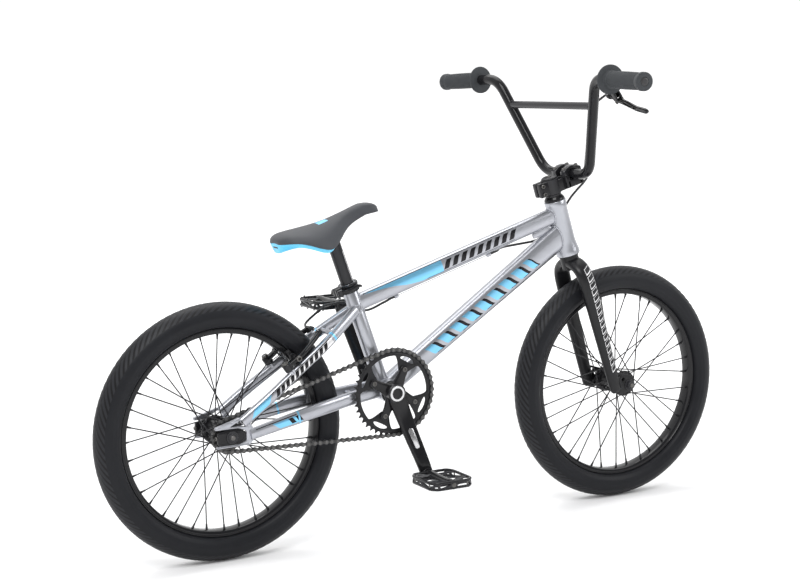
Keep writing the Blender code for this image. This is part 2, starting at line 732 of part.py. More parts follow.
def make_grips():
    for word, side in SIDES.items():
        outer, along = bar_end_line(side)[1:]
        tip = outer + along * (GAP + GRIP_CAP)
        length = GRIP_LENGTH + GRIP_CAP
        bore = BAR_RADIUS + GAP
        profile = [(0.0, 0.0), (GRIP_RADIUS - 0.002, 0.0), (GRIP_RADIUS, -0.002),
                   (GRIP_RADIUS, 0.006 - length), (GRIP_FLANGE_RADIUS, 0.004 - length),
                   (GRIP_FLANGE_RADIUS, -length), (bore, -length), (bore, -GRIP_CAP), (0.0, -GRIP_CAP)]
        finish_piece(turned(profile, tip, along), "grip_" + word, steering_body, grip_rubber)


# The brake lever lies in the plane of the bar's end and of a line that drops ahead of it
grip_inner, grip_outer, grip_along = bar_end_line(RIGHT)
lever_ahead = AHEAD * math.cos(LEVER_DROP) - Vector((0.0, 0.0, math.sin(LEVER_DROP)))
lever_ahead = (lever_ahead - grip_along * lever_ahead.dot(grip_along)).normalized()
lever_axis = grip_along.cross(lever_ahead).normalized()
lever_clamp = grip_outer - grip_along * (GRIP_LENGTH + 0.004 + LEVER_CLAMP_WIDTH / 2)
lever_pivot = lever_clamp + lever_ahead * LEVER_PIVOT_REACH + grip_along * 0.006
brake_lever_body = make_body("brake_lever_body", lever_pivot)


def lever_matrix(place):
    return Matrix.Translation(place) @ Matrix((grip_along, lever_ahead, lever_axis)).transposed().to_4x4()


def make_brake_lever():
    half = LEVER_CLAMP_WIDTH / 2
    clamp = rod(lever_clamp - grip_along * half, lever_clamp + grip_along * half, LEVER_CLAMP_RADIUS)
    ear_gap = LEVER_THICK + GAP * 4
    arm = block((LEVER_CLAMP_WIDTH, LEVER_PIVOT_REACH, ear_gap + 0.006),
                lever_matrix(lever_clamp + lever_ahead * LEVER_PIVOT_REACH / 2 + grip_along * 0.002))
    barrel_start = lever_clamp + lever_ahead * (LEVER_PIVOT_REACH - 0.008) - grip_along * 0.004
    barrel_end = barrel_start - grip_along * 0.030
    ear_half = ear_gap / 2 + 0.0035
    ear = rod(lever_pivot - lever_axis * ear_half, lever_pivot + lever_axis * ear_half, 0.0065, 16)
    barrel = rod(barrel_start, barrel_end, ADJUSTER_RADIUS, 14)
    bracket = joined(clamp, arm, ear, barrel)
    bar_hole = rod(lever_clamp - grip_along * 0.03, lever_clamp + grip_along * 0.03, BAR_RADIUS + GAP)
    slot = block((0.060, 0.024, ear_gap), lever_matrix(lever_pivot + grip_along * 0.018))
    pin_half = ear_gap / 2 + 0.002
    pin = rod(lever_pivot - lever_axis * pin_half, lever_pivot + lever_axis * pin_half, LEVER_PIN_RADIUS, 12)
    joined(cut_from(bracket, bar_hole, slot), pin)
    finish_piece(bracket, "brake_lever_bracket", steering_body, black_alloy)
    outline = [(-0.006, -0.004), (0.004, -0.006), (0.030, 0.002), (0.055, 0.012),
               (LEVER_LENGTH - 0.006, 0.016), (LEVER_LENGTH, 0.021), (LEVER_LENGTH - 0.004, 0.027),
               (0.052, 0.022), (0.026, 0.013), (0.004, 0.007), (-0.006, 0.005)]
    blade = plate([outline], LEVER_THICK, lever_matrix(lever_pivot))
    blade_hole = rod(lever_pivot - lever_axis * 0.02, lever_pivot + lever_axis * 0.02,
                     LEVER_PIN_RADIUS + GAP, 12)
    finish_piece(cut_from(blade, blade_hole), "brake_lever", brake_lever_body, black_alloy)
    return barrel_end - grip_along * GAP


def make_wheel(word, centre, body, flange_place, shell_ends):
    tyre_middle = TYRE_RADIUS - TYRE_HALF_WIDTH
    bead_half = RIM_HALF_WIDTH - RIM_WALL - GAP
    bead_radius = RIM_RADIUS - 0.0065
    lift = RIM_RADIUS + 0.0015
    outside = [(tyre_middle + TYRE_HALF_WIDTH * math.cos(a), TYRE_HALF_WIDTH * math.sin(a))
               for a in (math.radians(d) for d in (116, 70, 33, 0, -33, -70, -116))]
    inner_half = TYRE_HALF_WIDTH - TYRE_WALL
    inside = [(tyre_middle + inner_half * math.cos(a), inner_half * math.sin(a))
              for a in (math.radians(d) for d in (-116, -40, 40, 116))]
    bead_inner = bead_half - TYRE_WALL
    bead_foot = bead_radius + GAP
    profile = [(bead_foot, bead_half), (lift, bead_half), *outside, (lift, -bead_half),
               (bead_foot, -bead_half), (bead_foot, -bead_inner), (lift + TYRE_WALL, -bead_inner),
               *inside, (lift + TYRE_WALL, bead_inner), (bead_foot, bead_inner)]
    tyre = turned(profile, centre, ACROSS, hollow=True, steps=WHEEL_STEPS)
    finish_piece(tyre, word + "_tyre", body, rubber)
    inner_half_width = RIM_HALF_WIDTH - RIM_WALL
    rim = turned([(RIM_RADIUS, RIM_HALF_WIDTH), (RIM_INNER_RADIUS, RIM_HALF_WIDTH - 0.0025),
                  (RIM_INNER_RADIUS, 0.0025 - RIM_HALF_WIDTH), (RIM_RADIUS, -RIM_HALF_WIDTH),
                  (RIM_RADIUS, -inner_half_width), (bead_radius, -inner_half_width),
                  (bead_radius, inner_half_width), (RIM_RADIUS, inner_half_width)],
                 centre, ACROSS, hollow=True, steps=WHEEL_STEPS)
    finish_piece(rim, word + "_rim", body, black_alloy)
    tube_half = inner_half - GAP
    tube_points = [(tyre_middle + tube_half * math.cos(a), tube_half * math.sin(a))
                   for a in (math.radians(d) for d in (116, 40, -40, -116))]
    inner_tube = turned(tube_points, centre, ACROSS, hollow=True, steps=WHEEL_STEPS)
    finish_piece(inner_tube, word + "_inner_tube", body, rubber)
    left_end, right_end = shell_ends
    high, low = flange_place + FLANGE_THICK / 2, flange_place - FLANGE_THICK / 2
    hub = turned([(HUB_RADIUS, left_end), (HUB_RADIUS, high), (FLANGE_RADIUS, high), (FLANGE_RADIUS, low),
                  (HUB_RADIUS, low - 0.006), (HUB_RADIUS, 0.006 - low), (FLANGE_RADIUS, -low),
                  (FLANGE_RADIUS, -high), (HUB_RADIUS, -high), (HUB_RADIUS, right_end),
                  (HUB_BORE, right_end), (HUB_BORE, left_end)], centre, ACROSS, hollow=True)
    finish_piece(hub, word + "_hub", body, black_alloy)
    bearing_bore = AXLE_RADIUS + GAP
    race = HUB_BORE - GAP
    spacer = bearing_bore + 0.002
    bearings = turned([(race, left_end), (race, left_end - HUB_BEARING_WIDTH),
                       (spacer, left_end - HUB_BEARING_WIDTH), (spacer, right_end + HUB_BEARING_WIDTH),
                       (race, right_end + HUB_BEARING_WIDTH), (race, right_end), (bearing_bore, right_end),
                       (bearing_bore, left_end)], centre, ACROSS, hollow=True)
    finish_piece(bearings, word + "_hub_bearings", body, black_steel)
    for side_word, side in SIDES.items():
        spokes = make_spokes(centre, side, flange_place)
        finish_piece(spokes, word + "_spokes_" + side_word, body, black_steel)


def spoke_point(centre, angle, radius, side):
    return centre + Vector((radius * math.cos(angle), side, radius * math.sin(angle)))


def make_spokes(centre, side, flange_place):
    hole_step = 2 * math.pi / SPOKES_PER_SIDE
    start_radius = FLANGE_RADIUS + GAP + SPOKE_RADIUS
    end_radius = RIM_INNER_RADIUS * math.cos(math.pi / WHEEL_STEPS) - GAP
    phase = 0.0 if side == LEFT else hole_step / 2
    spokes = None
    for i in range(SPOKES_PER_SIDE):
        lead = 1 if i % 2 == 0 else -1
        hub_angle = i * hole_step + phase
        rim_angle = hub_angle + lead * SPOKE_CROSSES * hole_step
        weave = lead * SPOKE_RADIUS * 0.3
        start = spoke_point(centre, hub_angle, start_radius, side * flange_place + weave)
        end = spoke_point(centre, rim_angle, end_radius, side * 0.004 + weave)
        spoke = rod(start, end, SPOKE_RADIUS, 3)
        spokes = spoke if spokes is None else joined(spokes, spoke)
    return spokes


def make_axle(name, centre, body, end, collars):
    # A rod with collars, each (left end, right end) along +Y
    profile = [(0.0, end), (AXLE_RADIUS, end)]
    for high, low in collars:
        profile += [(AXLE_RADIUS, high), (COLLAR_RADIUS, high), (COLLAR_RADIUS, low), (AXLE_RADIUS, low)]
    profile += [(AXLE_RADIUS, -end), (0.0, -end)]
    finish_piece(turned(profile, centre, ACROSS, steps=12), name, body, black_steel)


def make_nuts(word, centre, body, start, end):
    for side_word, side in SIDES.items():
        nut = sleeve(centre + ACROSS * side * start, centre + ACROSS * side * end, NUT_RADIUS,
                     AXLE_RADIUS + GAP, 12)
        finish_piece(nut, word + "_axle_nut_" + side_word, body, black_steel)


def make_wheels():
    front_end = FRONT_HUB_HALF - 0.007
    make_wheel("front", front_axle, front_wheel_body, FRONT_FLANGE_PLACE, (front_end, -front_end))
    make_axle("front_axle", front_axle, steering_body, FRONT_AXLE_END,
              [(FRONT_HUB_HALF, front_end + GAP), (-front_end - GAP, -FRONT_HUB_HALF)])
    fork_face = FRONT_HUB_HALF + GAP + FORK_DROPOUT_THICK + GAP
    make_nuts("front", front_axle, steering_body, fork_face, FRONT_AXLE_END - 0.002)
    rear_left = REAR_HUB_HALF - 0.009
    cog_inner = CHAIN_LINE - COG_HALF_WIDTH
    cog_outer = CHAIN_LINE + COG_HALF_WIDTH
    make_wheel("rear", rear_axle, rear_wheel_body, REAR_FLANGE_PLACE, (rear_left, GAP - cog_inner))
    make_axle("rear_axle", rear_axle, frame_body, REAR_AXLE_END,
              [(REAR_HUB_HALF, rear_left + GAP), (-cog_outer - GAP, -REAR_HUB_HALF)])
    tug_face = REAR_HUB_HALF + GAP + DROPOUT_THICK + GAP
    make_nuts("rear", rear_axle, frame_body, tug_face + TUG_THICK + GAP, REAR_AXLE_END - 0.001)
    for side_word, side in SIDES.items():
        outline = [(-0.024, 0.009), (-0.008, 0.0125), (0.010, 0.0125), (0.022, 0.006), (0.022, -0.006),
                   (0.010, -0.0125), (-0.024, -0.0125)]
        centre = rear_axle + ACROSS * side * (tug_face + TUG_THICK / 2)
        hole = arc((0.0, 0.0), AXLE_RADIUS + GAP, 0.0, 2 * math.pi, 16)[:-1]
        tug = side_plate([outline, hole], TUG_THICK, centre)
        finish_piece(tug, "chain_tensioner_" + side_word, frame_body, black_alloy)
    teeth = toothed_outline(COG_TEETH, cog_radius)
    cog = side_plate([teeth], SPROCKET_THICK, ACROSS * -CHAIN_LINE)
    carrier = rod(ACROSS * -cog_inner, ACROSS * -cog_outer, cog_radius - 0.007)
    axle_hole = rod(ACROSS * -0.02, ACROSS * -0.08, AXLE_RADIUS + GAP, 16)
    freewheel = cut_from(joined(carrier, cog), axle_hole)
    freewheel.data.transform(Matrix.Translation(rear_axle))
    finish_piece(freewheel, "freewheel", freewheel_body, gunmetal)


def toothed_outline(teeth, radius):
    outline = []
    for i in range(teeth):
        angle = 2 * math.pi * i / teeth
        for share, lift in ((0.1, 0.0034), (0.6, -0.0036)):
            a = angle + share * 2 * math.pi / teeth
            outline.append(((radius + lift) * math.cos(a), (radius + lift) * math.sin(a)))
    return outline


def chain_loop(offset):
    # The belt line round both sprockets, seen from the side, moved outward by the offset
    span = bottom_bracket - rear_axle
    slope = math.atan2(span.z, span.x)
    open_angle = math.asin((ring_radius - cog_radius) / Vector((span.x, span.z)).length)
    top = slope + open_angle + math.pi / 2
    bottom = slope - open_angle - math.pi / 2
    ring_centre = (span.x, span.z)
    front = arc(ring_centre, ring_radius + offset, top, bottom, RING_ARC)
    back = arc((0.0, 0.0), cog_radius + offset, bottom, top - 2 * math.pi, COG_ARC)
    return front + back


def make_chain():
    strips = []
    for face in (-1, 1):
        place = face * (CHAIN_INNER_HALF + CHAIN_PLATE / 2) - CHAIN_LINE
        strips.append(side_plate([chain_loop(CHAIN_HALF_DEPTH), chain_loop(-CHAIN_HALF_DEPTH)], CHAIN_PLATE,
                                 rear_axle + ACROSS * place))
    chain = strips[0]
    line = chain_loop(0.0)
    runs = ((line[0], line[-1]), (line[RING_ARC], line[RING_ARC + 1]))
    pin_half = CHAIN_INNER_HALF + CHAIN_PLATE * 0.6
    pins = []
    for start, end in runs:
        for share in (0.30, 0.45, 0.60):
            middle = from_rear_axle(start[0] + (end[0] - start[0]) * share, -CHAIN_LINE,
                                    start[1] + (end[1] - start[1]) * share)
            pins.append(rod(middle - ACROSS * pin_half, middle + ACROSS * pin_half, CHAIN_PIN_RADIUS, 8))
    joined(chain, *pins, strips[1])
    finish_piece(chain, "chain", frame_body, gunmetal)


def crank_point(distance, side_place, sideways=0.0, way=1):
    square = Vector((-crank_ahead.z, 0.0, crank_ahead.x))
    return bottom_bracket + crank_ahead * distance * way + square * sideways + ACROSS * side_place


def make_crank():
    cup_face = BB_SHELL_HALF + GAP
    boss_inner = cup_face + CUP_WIDTH + GAP
    boss_outer = boss_inner + CRANK_BOSS_WIDTH
    for word, side in SIDES.items():
        cup = sleeve(bottom_bracket + ACROSS * side * cup_face,
                     bottom_bracket + ACROSS * side * (cup_face + CUP_WIDTH), CUP_RADIUS,
                     running_bore(SPINDLE_RADIUS))
        finish_piece(cup, "bottom_bracket_cup_" + word, frame_body, black_alloy)
    ring_outer = CHAIN_LINE + SPROCKET_THICK / 2
    spider_inner = ring_outer + GAP
    spider_outer = spider_inner + SPIDER_THICK
    for word, side, way in (("right", RIGHT, 1), ("left", LEFT, -1)):
        boss = rod(bottom_bracket + ACROSS * side * boss_inner, bottom_bracket + ACROSS * side * boss_outer,
                   CRANK_BOSS_RADIUS)
        middle = (boss_inner + boss_outer) / 2 + 0.001
        eye_middle = CRANK_EYE_PLACE + CRANK_EYE_WIDTH / 2
        spans = ((0.004, middle, 0.013, 0.036), (0.060, middle + 0.004, 0.013, 0.032),
                 (CRANK_LENGTH - 0.030, eye_middle - 0.002, 0.012, 0.026),
                 (CRANK_LENGTH, eye_middle, 0.012, 0.022))
        arm = oval_tube_along([(crank_point(distance, side * place, way=way), width, depth)
                               for distance, place, width, depth in spans])
        eye = rod(crank_point(CRANK_LENGTH, side * CRANK_EYE_PLACE, way=way),
                  crank_point(CRANK_LENGTH, side * (CRANK_EYE_PLACE + CRANK_EYE_WIDTH), way=way),
                  CRANK_EYE_RADIUS)
        crank = joined(boss, arm, eye)
        if side == RIGHT:
            for i in range(RING_ARMS):
                angle = CRANK_ANGLE + math.pi / RING_ARMS + 2 * math.pi * i / RING_ARMS
                tip = Vector((math.cos(angle), 0.0, math.sin(angle))) * (RING_BOLT_CIRCLE + 0.004)
                spider_middle = bottom_bracket - ACROSS * (spider_inner + spider_outer) / 2
                joined(crank, oval_tube_along([(spider_middle + tip * 0.2, SPIDER_THICK, 0.020),
                                               (spider_middle + tip, SPIDER_THICK, 0.014)]))
            spindle_end = boss_outer - 0.001
            spindle = rod(bottom_bracket - ACROSS * (boss_outer - 0.004),
                          bottom_bracket + ACROSS * spindle_end, SPINDLE_RADIUS)
            hollow = rod(bottom_bracket - ACROSS * 0.09, bottom_bracket + ACROSS * 0.09, SPINDLE_BORE)
            cut_from(joined(crank, spindle), hollow)
        else:
            cut_from(crank, rod(bottom_bracket, bottom_bracket + ACROSS * 0.09, SPINDLE_RADIUS + GAP))
        cut_from(crank, rod(crank_point(CRANK_LENGTH, side * 0.05, way=way),
                            crank_point(CRANK_LENGTH, side * 0.12, way=way), PEDAL_THREAD_RADIUS + GAP, 16))
        finish_piece(crank, "crank_arm_" + word, crank_body, black_alloy)
        make_pedal(word, side, crank_point(CRANK_LENGTH, 0.0, way=way))
    windows = []
    for i in range(RING_ARMS):
        middle = CRANK_ANGLE + 2 * math.pi * i / RING_ARMS
        start, end = middle - RING_WINDOW_HALF, middle + RING_WINDOW_HALF
        inner = arc((0.0, 0.0), RING_WINDOW_INNER, end, start, 4)
        outer = arc((0.0, 0.0), RING_WINDOW_OUTER, start, end, 5)
        windows.append(outer + inner)
    centre_hole = arc((0.0, 0.0), RING_HOLE, 0.0, 2 * math.pi, 20)[:-1]
    ring = side_plate([toothed_outline(RING_TEETH, ring_radius), centre_hole, *windows], SPROCKET_THICK,
                      bottom_bracket - ACROSS * CHAIN_LINE)
    finish_piece(ring, "chainring", crank_body, black_alloy)


def oval_tube_along(sections):
    # A crank-like bar: each section is (centre, thickness across the bike, depth)
    rings = []
    for i, (centre, width, depth) in enumerate(sections):
        along = (sections[min(i + 1, len(sections) - 1)][0] - sections[max(i - 1, 0)][0])
        along.y = 0.0
        up = along.normalized().cross(ACROSS)
        rings.append(oval_ring(centre, ACROSS, up, width / 2, depth / 2, 12, 0.7))
    return loft(rings)


def make_pedal(word, side, eye):
    pedal_body = make_body("pedal_body_" + word, eye)
    flange_start = CRANK_EYE_PLACE + CRANK_EYE_WIDTH + GAP
    cage_start = flange_start + PEDAL_FLANGE + GAP
    cage_end = cage_start + PEDAL_WIDTH
    axis = ACROSS * side
    flange_end = flange_start + PEDAL_FLANGE
    profile = [(0.0, cage_end), (PEDAL_AXLE_RADIUS, cage_end), (PEDAL_AXLE_RADIUS, flange_end),
               (PEDAL_FLANGE_RADIUS, flange_end), (PEDAL_FLANGE_RADIUS, flange_start),
               (PEDAL_THREAD_RADIUS, flange_start),
               (PEDAL_THREAD_RADIUS, CRANK_EYE_PLACE + 0.001), (0.0, CRANK_EYE_PLACE + 0.001)]
    finish_piece(turned(profile, eye, axis, steps=12), "pedal_axle_" + word, crank_body, black_steel)
    half = PEDAL_LENGTH / 2
    middle = (cage_start + cage_end) / 2
    width = PEDAL_WIDTH / 2
    outline = [(-half, -width * 0.7), (-half * 0.8, -width), (half * 0.8, -width), (half, -width * 0.7),
               (half, width * 0.75), (half * 0.75, width), (-half * 0.75, width), (-half, width * 0.75)]
    reach = half - PEDAL_BAR
    windows = [[(sign * 0.012, PEDAL_BAR - width), (sign * reach, -width * 0.66),
                (sign * reach, width * 0.66), (sign * 0.012, width - PEDAL_BAR)] for sign in (-1, 1)]
    flat = Matrix((AHEAD, axis, AHEAD.cross(axis))).transposed().to_4x4()
    cage = plate([outline, *windows], PEDAL_THICK, Matrix.Translation(eye + axis * middle) @ flat)
    barrel = rod(eye + axis * cage_start, eye + axis * cage_end, PEDAL_BARREL_RADIUS)
    hole = rod(eye + axis * (cage_start - 0.01), eye + axis * (cage_end + 0.01), PEDAL_AXLE_RADIUS + GAP, 16)
    finish_piece(cut_from(joined(cage, barrel), hole), "pedal_" + word, pedal_body, black_alloy)


saddle_pivot = on_seat_tube(SEAT_TUBE_LENGTH + POST_SHOWN)
saddle_body = make_body("saddle_body", saddle_pivot)
saddle_along = Vector((math.cos(SADDLE_SLOPE), 0.0, math.sin(SADDLE_SLOPE)))
saddle_up = Vector((-math.sin(SADDLE_SLOPE), 0.0, math.cos(SADDLE_SLOPE)))


def saddle_half_width(share):
    # Half the saddle's width from the tail (0) to the nose (1)
    if share < 0.30:
        return SADDLE_HALF_WIDTH * (0.62 + 0.38 * math.sin(share / 0.30 * math.pi / 2))
    ease = 0.5 + 0.5 * math.cos(math.pi * min((share - 0.30) / 0.45, 1.0))
    return SADDLE_NOSE_HALF + (SADDLE_HALF_WIDTH - SADDLE_NOSE_HALF) * ease


def saddle_line(share):
    # The saddle's centre line dips at the middle and drops at the nose
    along = share * SADDLE_LENGTH - SADDLE_PIVOT_FROM_TAIL
    dip = 0.006 * (1 + math.cos(share * 2 * math.pi)) - 0.008 * max(share - 0.85, 0.0) / 0.15
    return saddle_pivot + saddle_along * along + saddle_up * (SADDLE_PIVOT_RADIUS + dip)


def saddle_end(share):
    # The outline closes in at both ends
    return min(1.0, math.sin(min(share / 0.10, 1.0) * math.pi / 2) * 0.55 + 0.45,
               math.cos(max(share - 0.88, 0.0) / 0.12 * math.pi / 2) * 0.60 + 0.40)


def make_saddle():
    shell_rings = []
    pad_rings = []
    count = 9
    for share in SADDLE_SHARES:
        centre = saddle_line(share)
        half = saddle_half_width(share) * saddle_end(share)
        sag = SADDLE_SKIRT * math.exp(-((share - 0.40) / 0.20) ** 2) + 0.001
        stern = SADDLE_STERN * max(1.0 - share / 0.20, 0.0)
        padding = SADDLE_PAD * saddle_end(share) * (0.62 + 0.38 * math.sin(math.pi * share))
        shell_ring = []
        pad_ring = []
        for i in range(count):
            x = -1.0 + 2.0 * i / (count - 1)
            drop = sag * x * x
            shell_ring.append(centre + ACROSS * half * x + saddle_up * (GAP - drop - stern))
            tucked = min(max(x, -0.97), 0.97)
            pad_drop = sag * tucked * tucked
            pad_ring.append(centre + ACROSS * half * tucked + saddle_up * (SADDLE_SHELL + SADDLE_SEAM - pad_drop))
        for i in range(count):
            x = 1.0 - 2.0 * i / (count - 1)
            drop = sag * x * x
            bulge = 1.03 if 0 < i < count - 1 else 1.01
            crown = padding * math.sqrt(max(1.0 - abs(x) ** 3, 0.04))
            shell_ring.append(centre + ACROSS * half * x + saddle_up * (SADDLE_SHELL - drop))
            pad_ring.append(centre + ACROSS * half * x * bulge + saddle_up * (SADDLE_SHELL + crown - drop))
        shell_rings.append(shell_ring)
        pad_rings.append(pad_ring)
    shell = loft(shell_rings)
    cradle = block((0.036, 0.030, 0.014),
                   axis_matrix(saddle_pivot + saddle_up * (SADDLE_PIVOT_RADIUS - 0.006), saddle_up))
    head_room = rod(saddle_pivot - ACROSS * 0.05, saddle_pivot + ACROSS * 0.05,
                    running_bore(SADDLE_PIVOT_RADIUS))
    finish_piece(cut_from(joined(shell, cradle), head_room), "saddle_shell", saddle_body, blue_plastic)
    finish_piece(loft(pad_rings), "saddle_pad", saddle_body, saddle_cloth)


def make_seat_post():
    post_foot = on_seat_tube(SEAT_TUBE_LENGTH - POST_INSERT)
    post = rod(post_foot, saddle_pivot - seat_up * 0.004, POST_RADIUS)
    head = rod(saddle_pivot - ACROSS * POST_HEAD_HALF, saddle_pivot + ACROSS * POST_HEAD_HALF,
               SADDLE_PIVOT_RADIUS)
    finish_piece(joined(post, head), "seat_post", seat_post_body, black_alloy)
    clamp_bore = SEAT_TUBE_RADIUS + GAP
    clamp_low = on_seat_tube(SEAT_TUBE_LENGTH - CLAMP_HEIGHT)
    clamp_top = on_seat_tube(SEAT_TUBE_LENGTH)
    collar = rod(clamp_low, clamp_top, clamp_bore + CLAMP_WALL)
    clamp_middle = on_seat_tube(SEAT_TUBE_LENGTH - CLAMP_HEIGHT / 2)
    rearward = seat_up.cross(ACROSS)
    if rearward.x > 0:
        rearward = rearward * -1
    turn = Matrix((rearward, ACROSS, seat_up)).transposed().to_4x4()
    ear_reach = clamp_bore + CLAMP_WALL + 0.012
    ear = block((0.024, EAR_WIDTH, CLAMP_HEIGHT - 0.002),
                Matrix.Translation(clamp_middle + rearward * (ear_reach - 0.012)) @ turn)
    bore = rod(on_seat_tube(SEAT_TUBE_LENGTH - 0.04), on_seat_tube(SEAT_TUBE_LENGTH + 0.02), clamp_bore)
    split = block((0.036, 0.002, 0.04), Matrix.Translation(clamp_middle + rearward * ear_reach) @ turn)
    skewer_place = clamp_middle + rearward * (ear_reach - 0.005)
    skewer_hole = rod(skewer_place - ACROSS * 0.03, skewer_place + ACROSS * 0.03, SKEWER_RADIUS + GAP, 12)
    clamp = cut_from(joined(collar, ear), bore, split, skewer_hole)
    finish_piece(clamp, "seat_clamp", frame_body, black_alloy)
    ear_half = EAR_WIDTH / 2
    nut_face = ear_half + GAP
    nut_end = nut_face + SKEWER_NUT
    skewer = turned([(0.0, ear_half), (SKEWER_RADIUS, ear_half), (SKEWER_RADIUS, -nut_face),
                     (SKEWER_NUT, -nut_face), (SKEWER_NUT, -nut_end), (0.0, -nut_end)],
                    skewer_place, ACROSS * -1, steps=12)
    finish_piece(skewer, "seat_clamp_skewer", frame_body, black_steel)
    cam_place = skewer_place - ACROSS * (nut_face + CAM_RADIUS)
    lever_body = make_body("seat_clamp_lever_body", cam_place)
    cam = rod(cam_place - seat_up * CAM_HALF, cam_place + seat_up * CAM_HALF, CAM_RADIUS)
    ahead = rearward * -1
    handle = oval_tube_along([(cam_place + ahead * 0.001, 0.006, 0.009),
                              (cam_place - ACROSS * 0.0085 + ahead * 0.020, 0.005, 0.011),
                              (cam_place - ACROSS * 0.0080 + ahead * 0.052 + seat_up * 0.006, 0.005, 0.009)])
    finish_piece(joined(cam, handle), "seat_clamp_lever", lever_body, black_alloy)


def make_brake():
    pad_radius = RIM_INNER_RADIUS + PAD_FROM_RIM_EDGE + PAD_HEIGHT / 2
    stud_end = stay_lift + STAY_DEPTH + BRAKE_STUD_LENGTH
    for word, side in SIDES.items():
        pivot = on_stay(BRAKE_STUD_FROM_AXLE, side * stud_side, 0.0)
        body = make_body("brake_arm_body_" + word, pivot)
        low = stay_lift + STAY_DEPTH / 2 + 0.002
        boss = rod(pivot + stay_out * low, pivot + stay_out * (low + ARM_BOSS_HEIGHT), ARM_BOSS_RADIUS, 16)
        mid = low + 0.010
        top_side = 0.026
        sections = []
        for distance, place, width in ((0.0, stud_side, ARM_WIDTH), (0.040, stud_side + 0.001, 0.013),
                                       (0.078, 0.038, 0.012), (ARM_LENGTH, top_side, 0.010)):
            sections.append((on_stay(BRAKE_STUD_FROM_AXLE + distance, side * place, mid), width, ARM_DEPTH))
        arm = joined(boss, oval_tube(sections, 10))
        stud_hole = rod(pivot + stay_out * (low - 0.01), pivot + stay_out * stud_end,
                        BRAKE_STUD_RADIUS + GAP, 12)
        finish_piece(cut_from(arm, stud_hole), "brake_arm_" + word, body, black_alloy)
        pad_at = math.sqrt(pad_radius ** 2 - (mid - 0.008) ** 2)
        shoe_face = RIM_HALF_WIDTH + PAD_CLEARANCE
        centre = on_stay(pad_at, side * (shoe_face + PAD_THICK / 2), mid - 0.008)
        turn = Matrix((stay_out, ACROSS, stay_along)).transposed().to_4x4()
        shoe = block((PAD_LENGTH, PAD_THICK, PAD_HEIGHT), Matrix.Translation(centre) @ turn)
        arm_face = stud_side - 0.007
        post_start = on_stay(pad_at, side * (shoe_face + PAD_THICK / 2), mid)
        post_length = arm_face - GAP - shoe_face - PAD_THICK / 2
        post = rod(post_start, post_start + ACROSS * side * post_length, PAD_POST_RADIUS, 10)
        finish_piece(joined(shoe, post), "brake_pad_" + word, body, black_plastic)
        if side == LEFT:
            tip = on_stay(BRAKE_STUD_FROM_AXLE + ARM_LENGTH - 0.004, 0.0,
                          mid + ARM_DEPTH / 2 + HOUSING_RADIUS + GAP)
            bends = ((0.043, 0.050), (0.044, 0.030), (0.041, 0.010), (0.028, 0.0), (0.012, 0.0),
                     (-0.002, 0.0))
            noodle = smooth_route([tip + ACROSS * place + stay_along * rise for place, rise in bends], 2)
            finish_piece(tube(noodle, HOUSING_RADIUS), "brake_noodle", body, black_steel)
            noodle_mouth = noodle[0], (noodle[0] - noodle[1]).normalized()
    return noodle_mouth


def make_cables(adjuster, noodle_mouth):
    rear_stop, front_stop = cable_stops
    stop_reach = CABLE_STOP_HALF + GAP
    inner_start = rear_stop + top_along * stop_reach
    inner_end = front_stop - top_along * stop_reach
    finish_piece(tube([inner_start, inner_end], CABLE_RADIUS), "brake_inner_cable", frame_body, gunmetal)
    start = adjuster - grip_along * GAP * 2
    end = front_stop + top_along * stop_reach
    upright_top = grip_inner - grip_along * BAR_CORNER_IN
    upright_foot = bar_point(0.0, RIGHT * (BAR_BASE_HALF + BAR_CORNER_IN))
    beside = Vector((0.46, 0.88, -0.14))
    route = [start, start - grip_along * 0.018 + AHEAD * 0.003]
    for share, apart in ((0.30, 0.055), (0.62, 0.075), (0.90, 0.085)):
        route.append(upright_top.lerp(upright_foot, share) + beside * apart)
    route += [on_steering(bar_height - 0.031, 0.100, 0.012),
              on_steering(HEAD_LENGTH - 0.016, 0.066, 0.036), on_steering(HEAD_LENGTH - 0.052, 0.020, 0.040),
              on_steering(HEAD_LENGTH - 0.078, -0.032, 0.032),
              end + top_along * 0.050 + ACROSS * 0.026 + top_under * 0.006,
              end + top_along * 0.024 + ACROSS * 0.010 + top_under * 0.003, end + top_along * 0.010, end]
    housing = tube(smooth_route(route, 3), HOUSING_RADIUS)
    finish_piece(housing, "brake_housing_front", frame_body, black_plastic)
    rear_start = rear_stop - top_along * stop_reach
    mouth, mouth_out = noodle_mouth
    rear = [rear_start, rear_start - top_along * 0.010,
            rear_start - top_along * 0.024 + ACROSS * 0.008 + top_under * 0.004,
            on_seat_tube(top_tube_height - 0.020, 0.024) + AHEAD * 0.030,
            on_seat_tube(top_tube_height, 0.028),
            mouth + mouth_out * 0.016, mouth + mouth_out * 0.008, mouth + mouth_out * GAP * 2]
    finish_piece(tube(smooth_route(rear, 2), HOUSING_RADIUS), "brake_housing_rear", frame_body, black_plastic)


make_frame()
make_headset()
make_fork()
make_stem()
make_handlebar()
make_grips()
cable_exit = make_brake_lever()
make_wheels()
make_chain()
make_crank()
make_saddle()
make_seat_post()
make_cables(cable_exit, make_brake())
bpy.context.view_layer.update()
print("pieces:", sum(1 for piece in bike.objects if piece.type == "MESH"))
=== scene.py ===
import json
from math import asin, atan2, copysign, cos, degrees, exp, pi, radians, sin, sqrt, tan

import bmesh
import bpy
from mathutils import Matrix, Vector


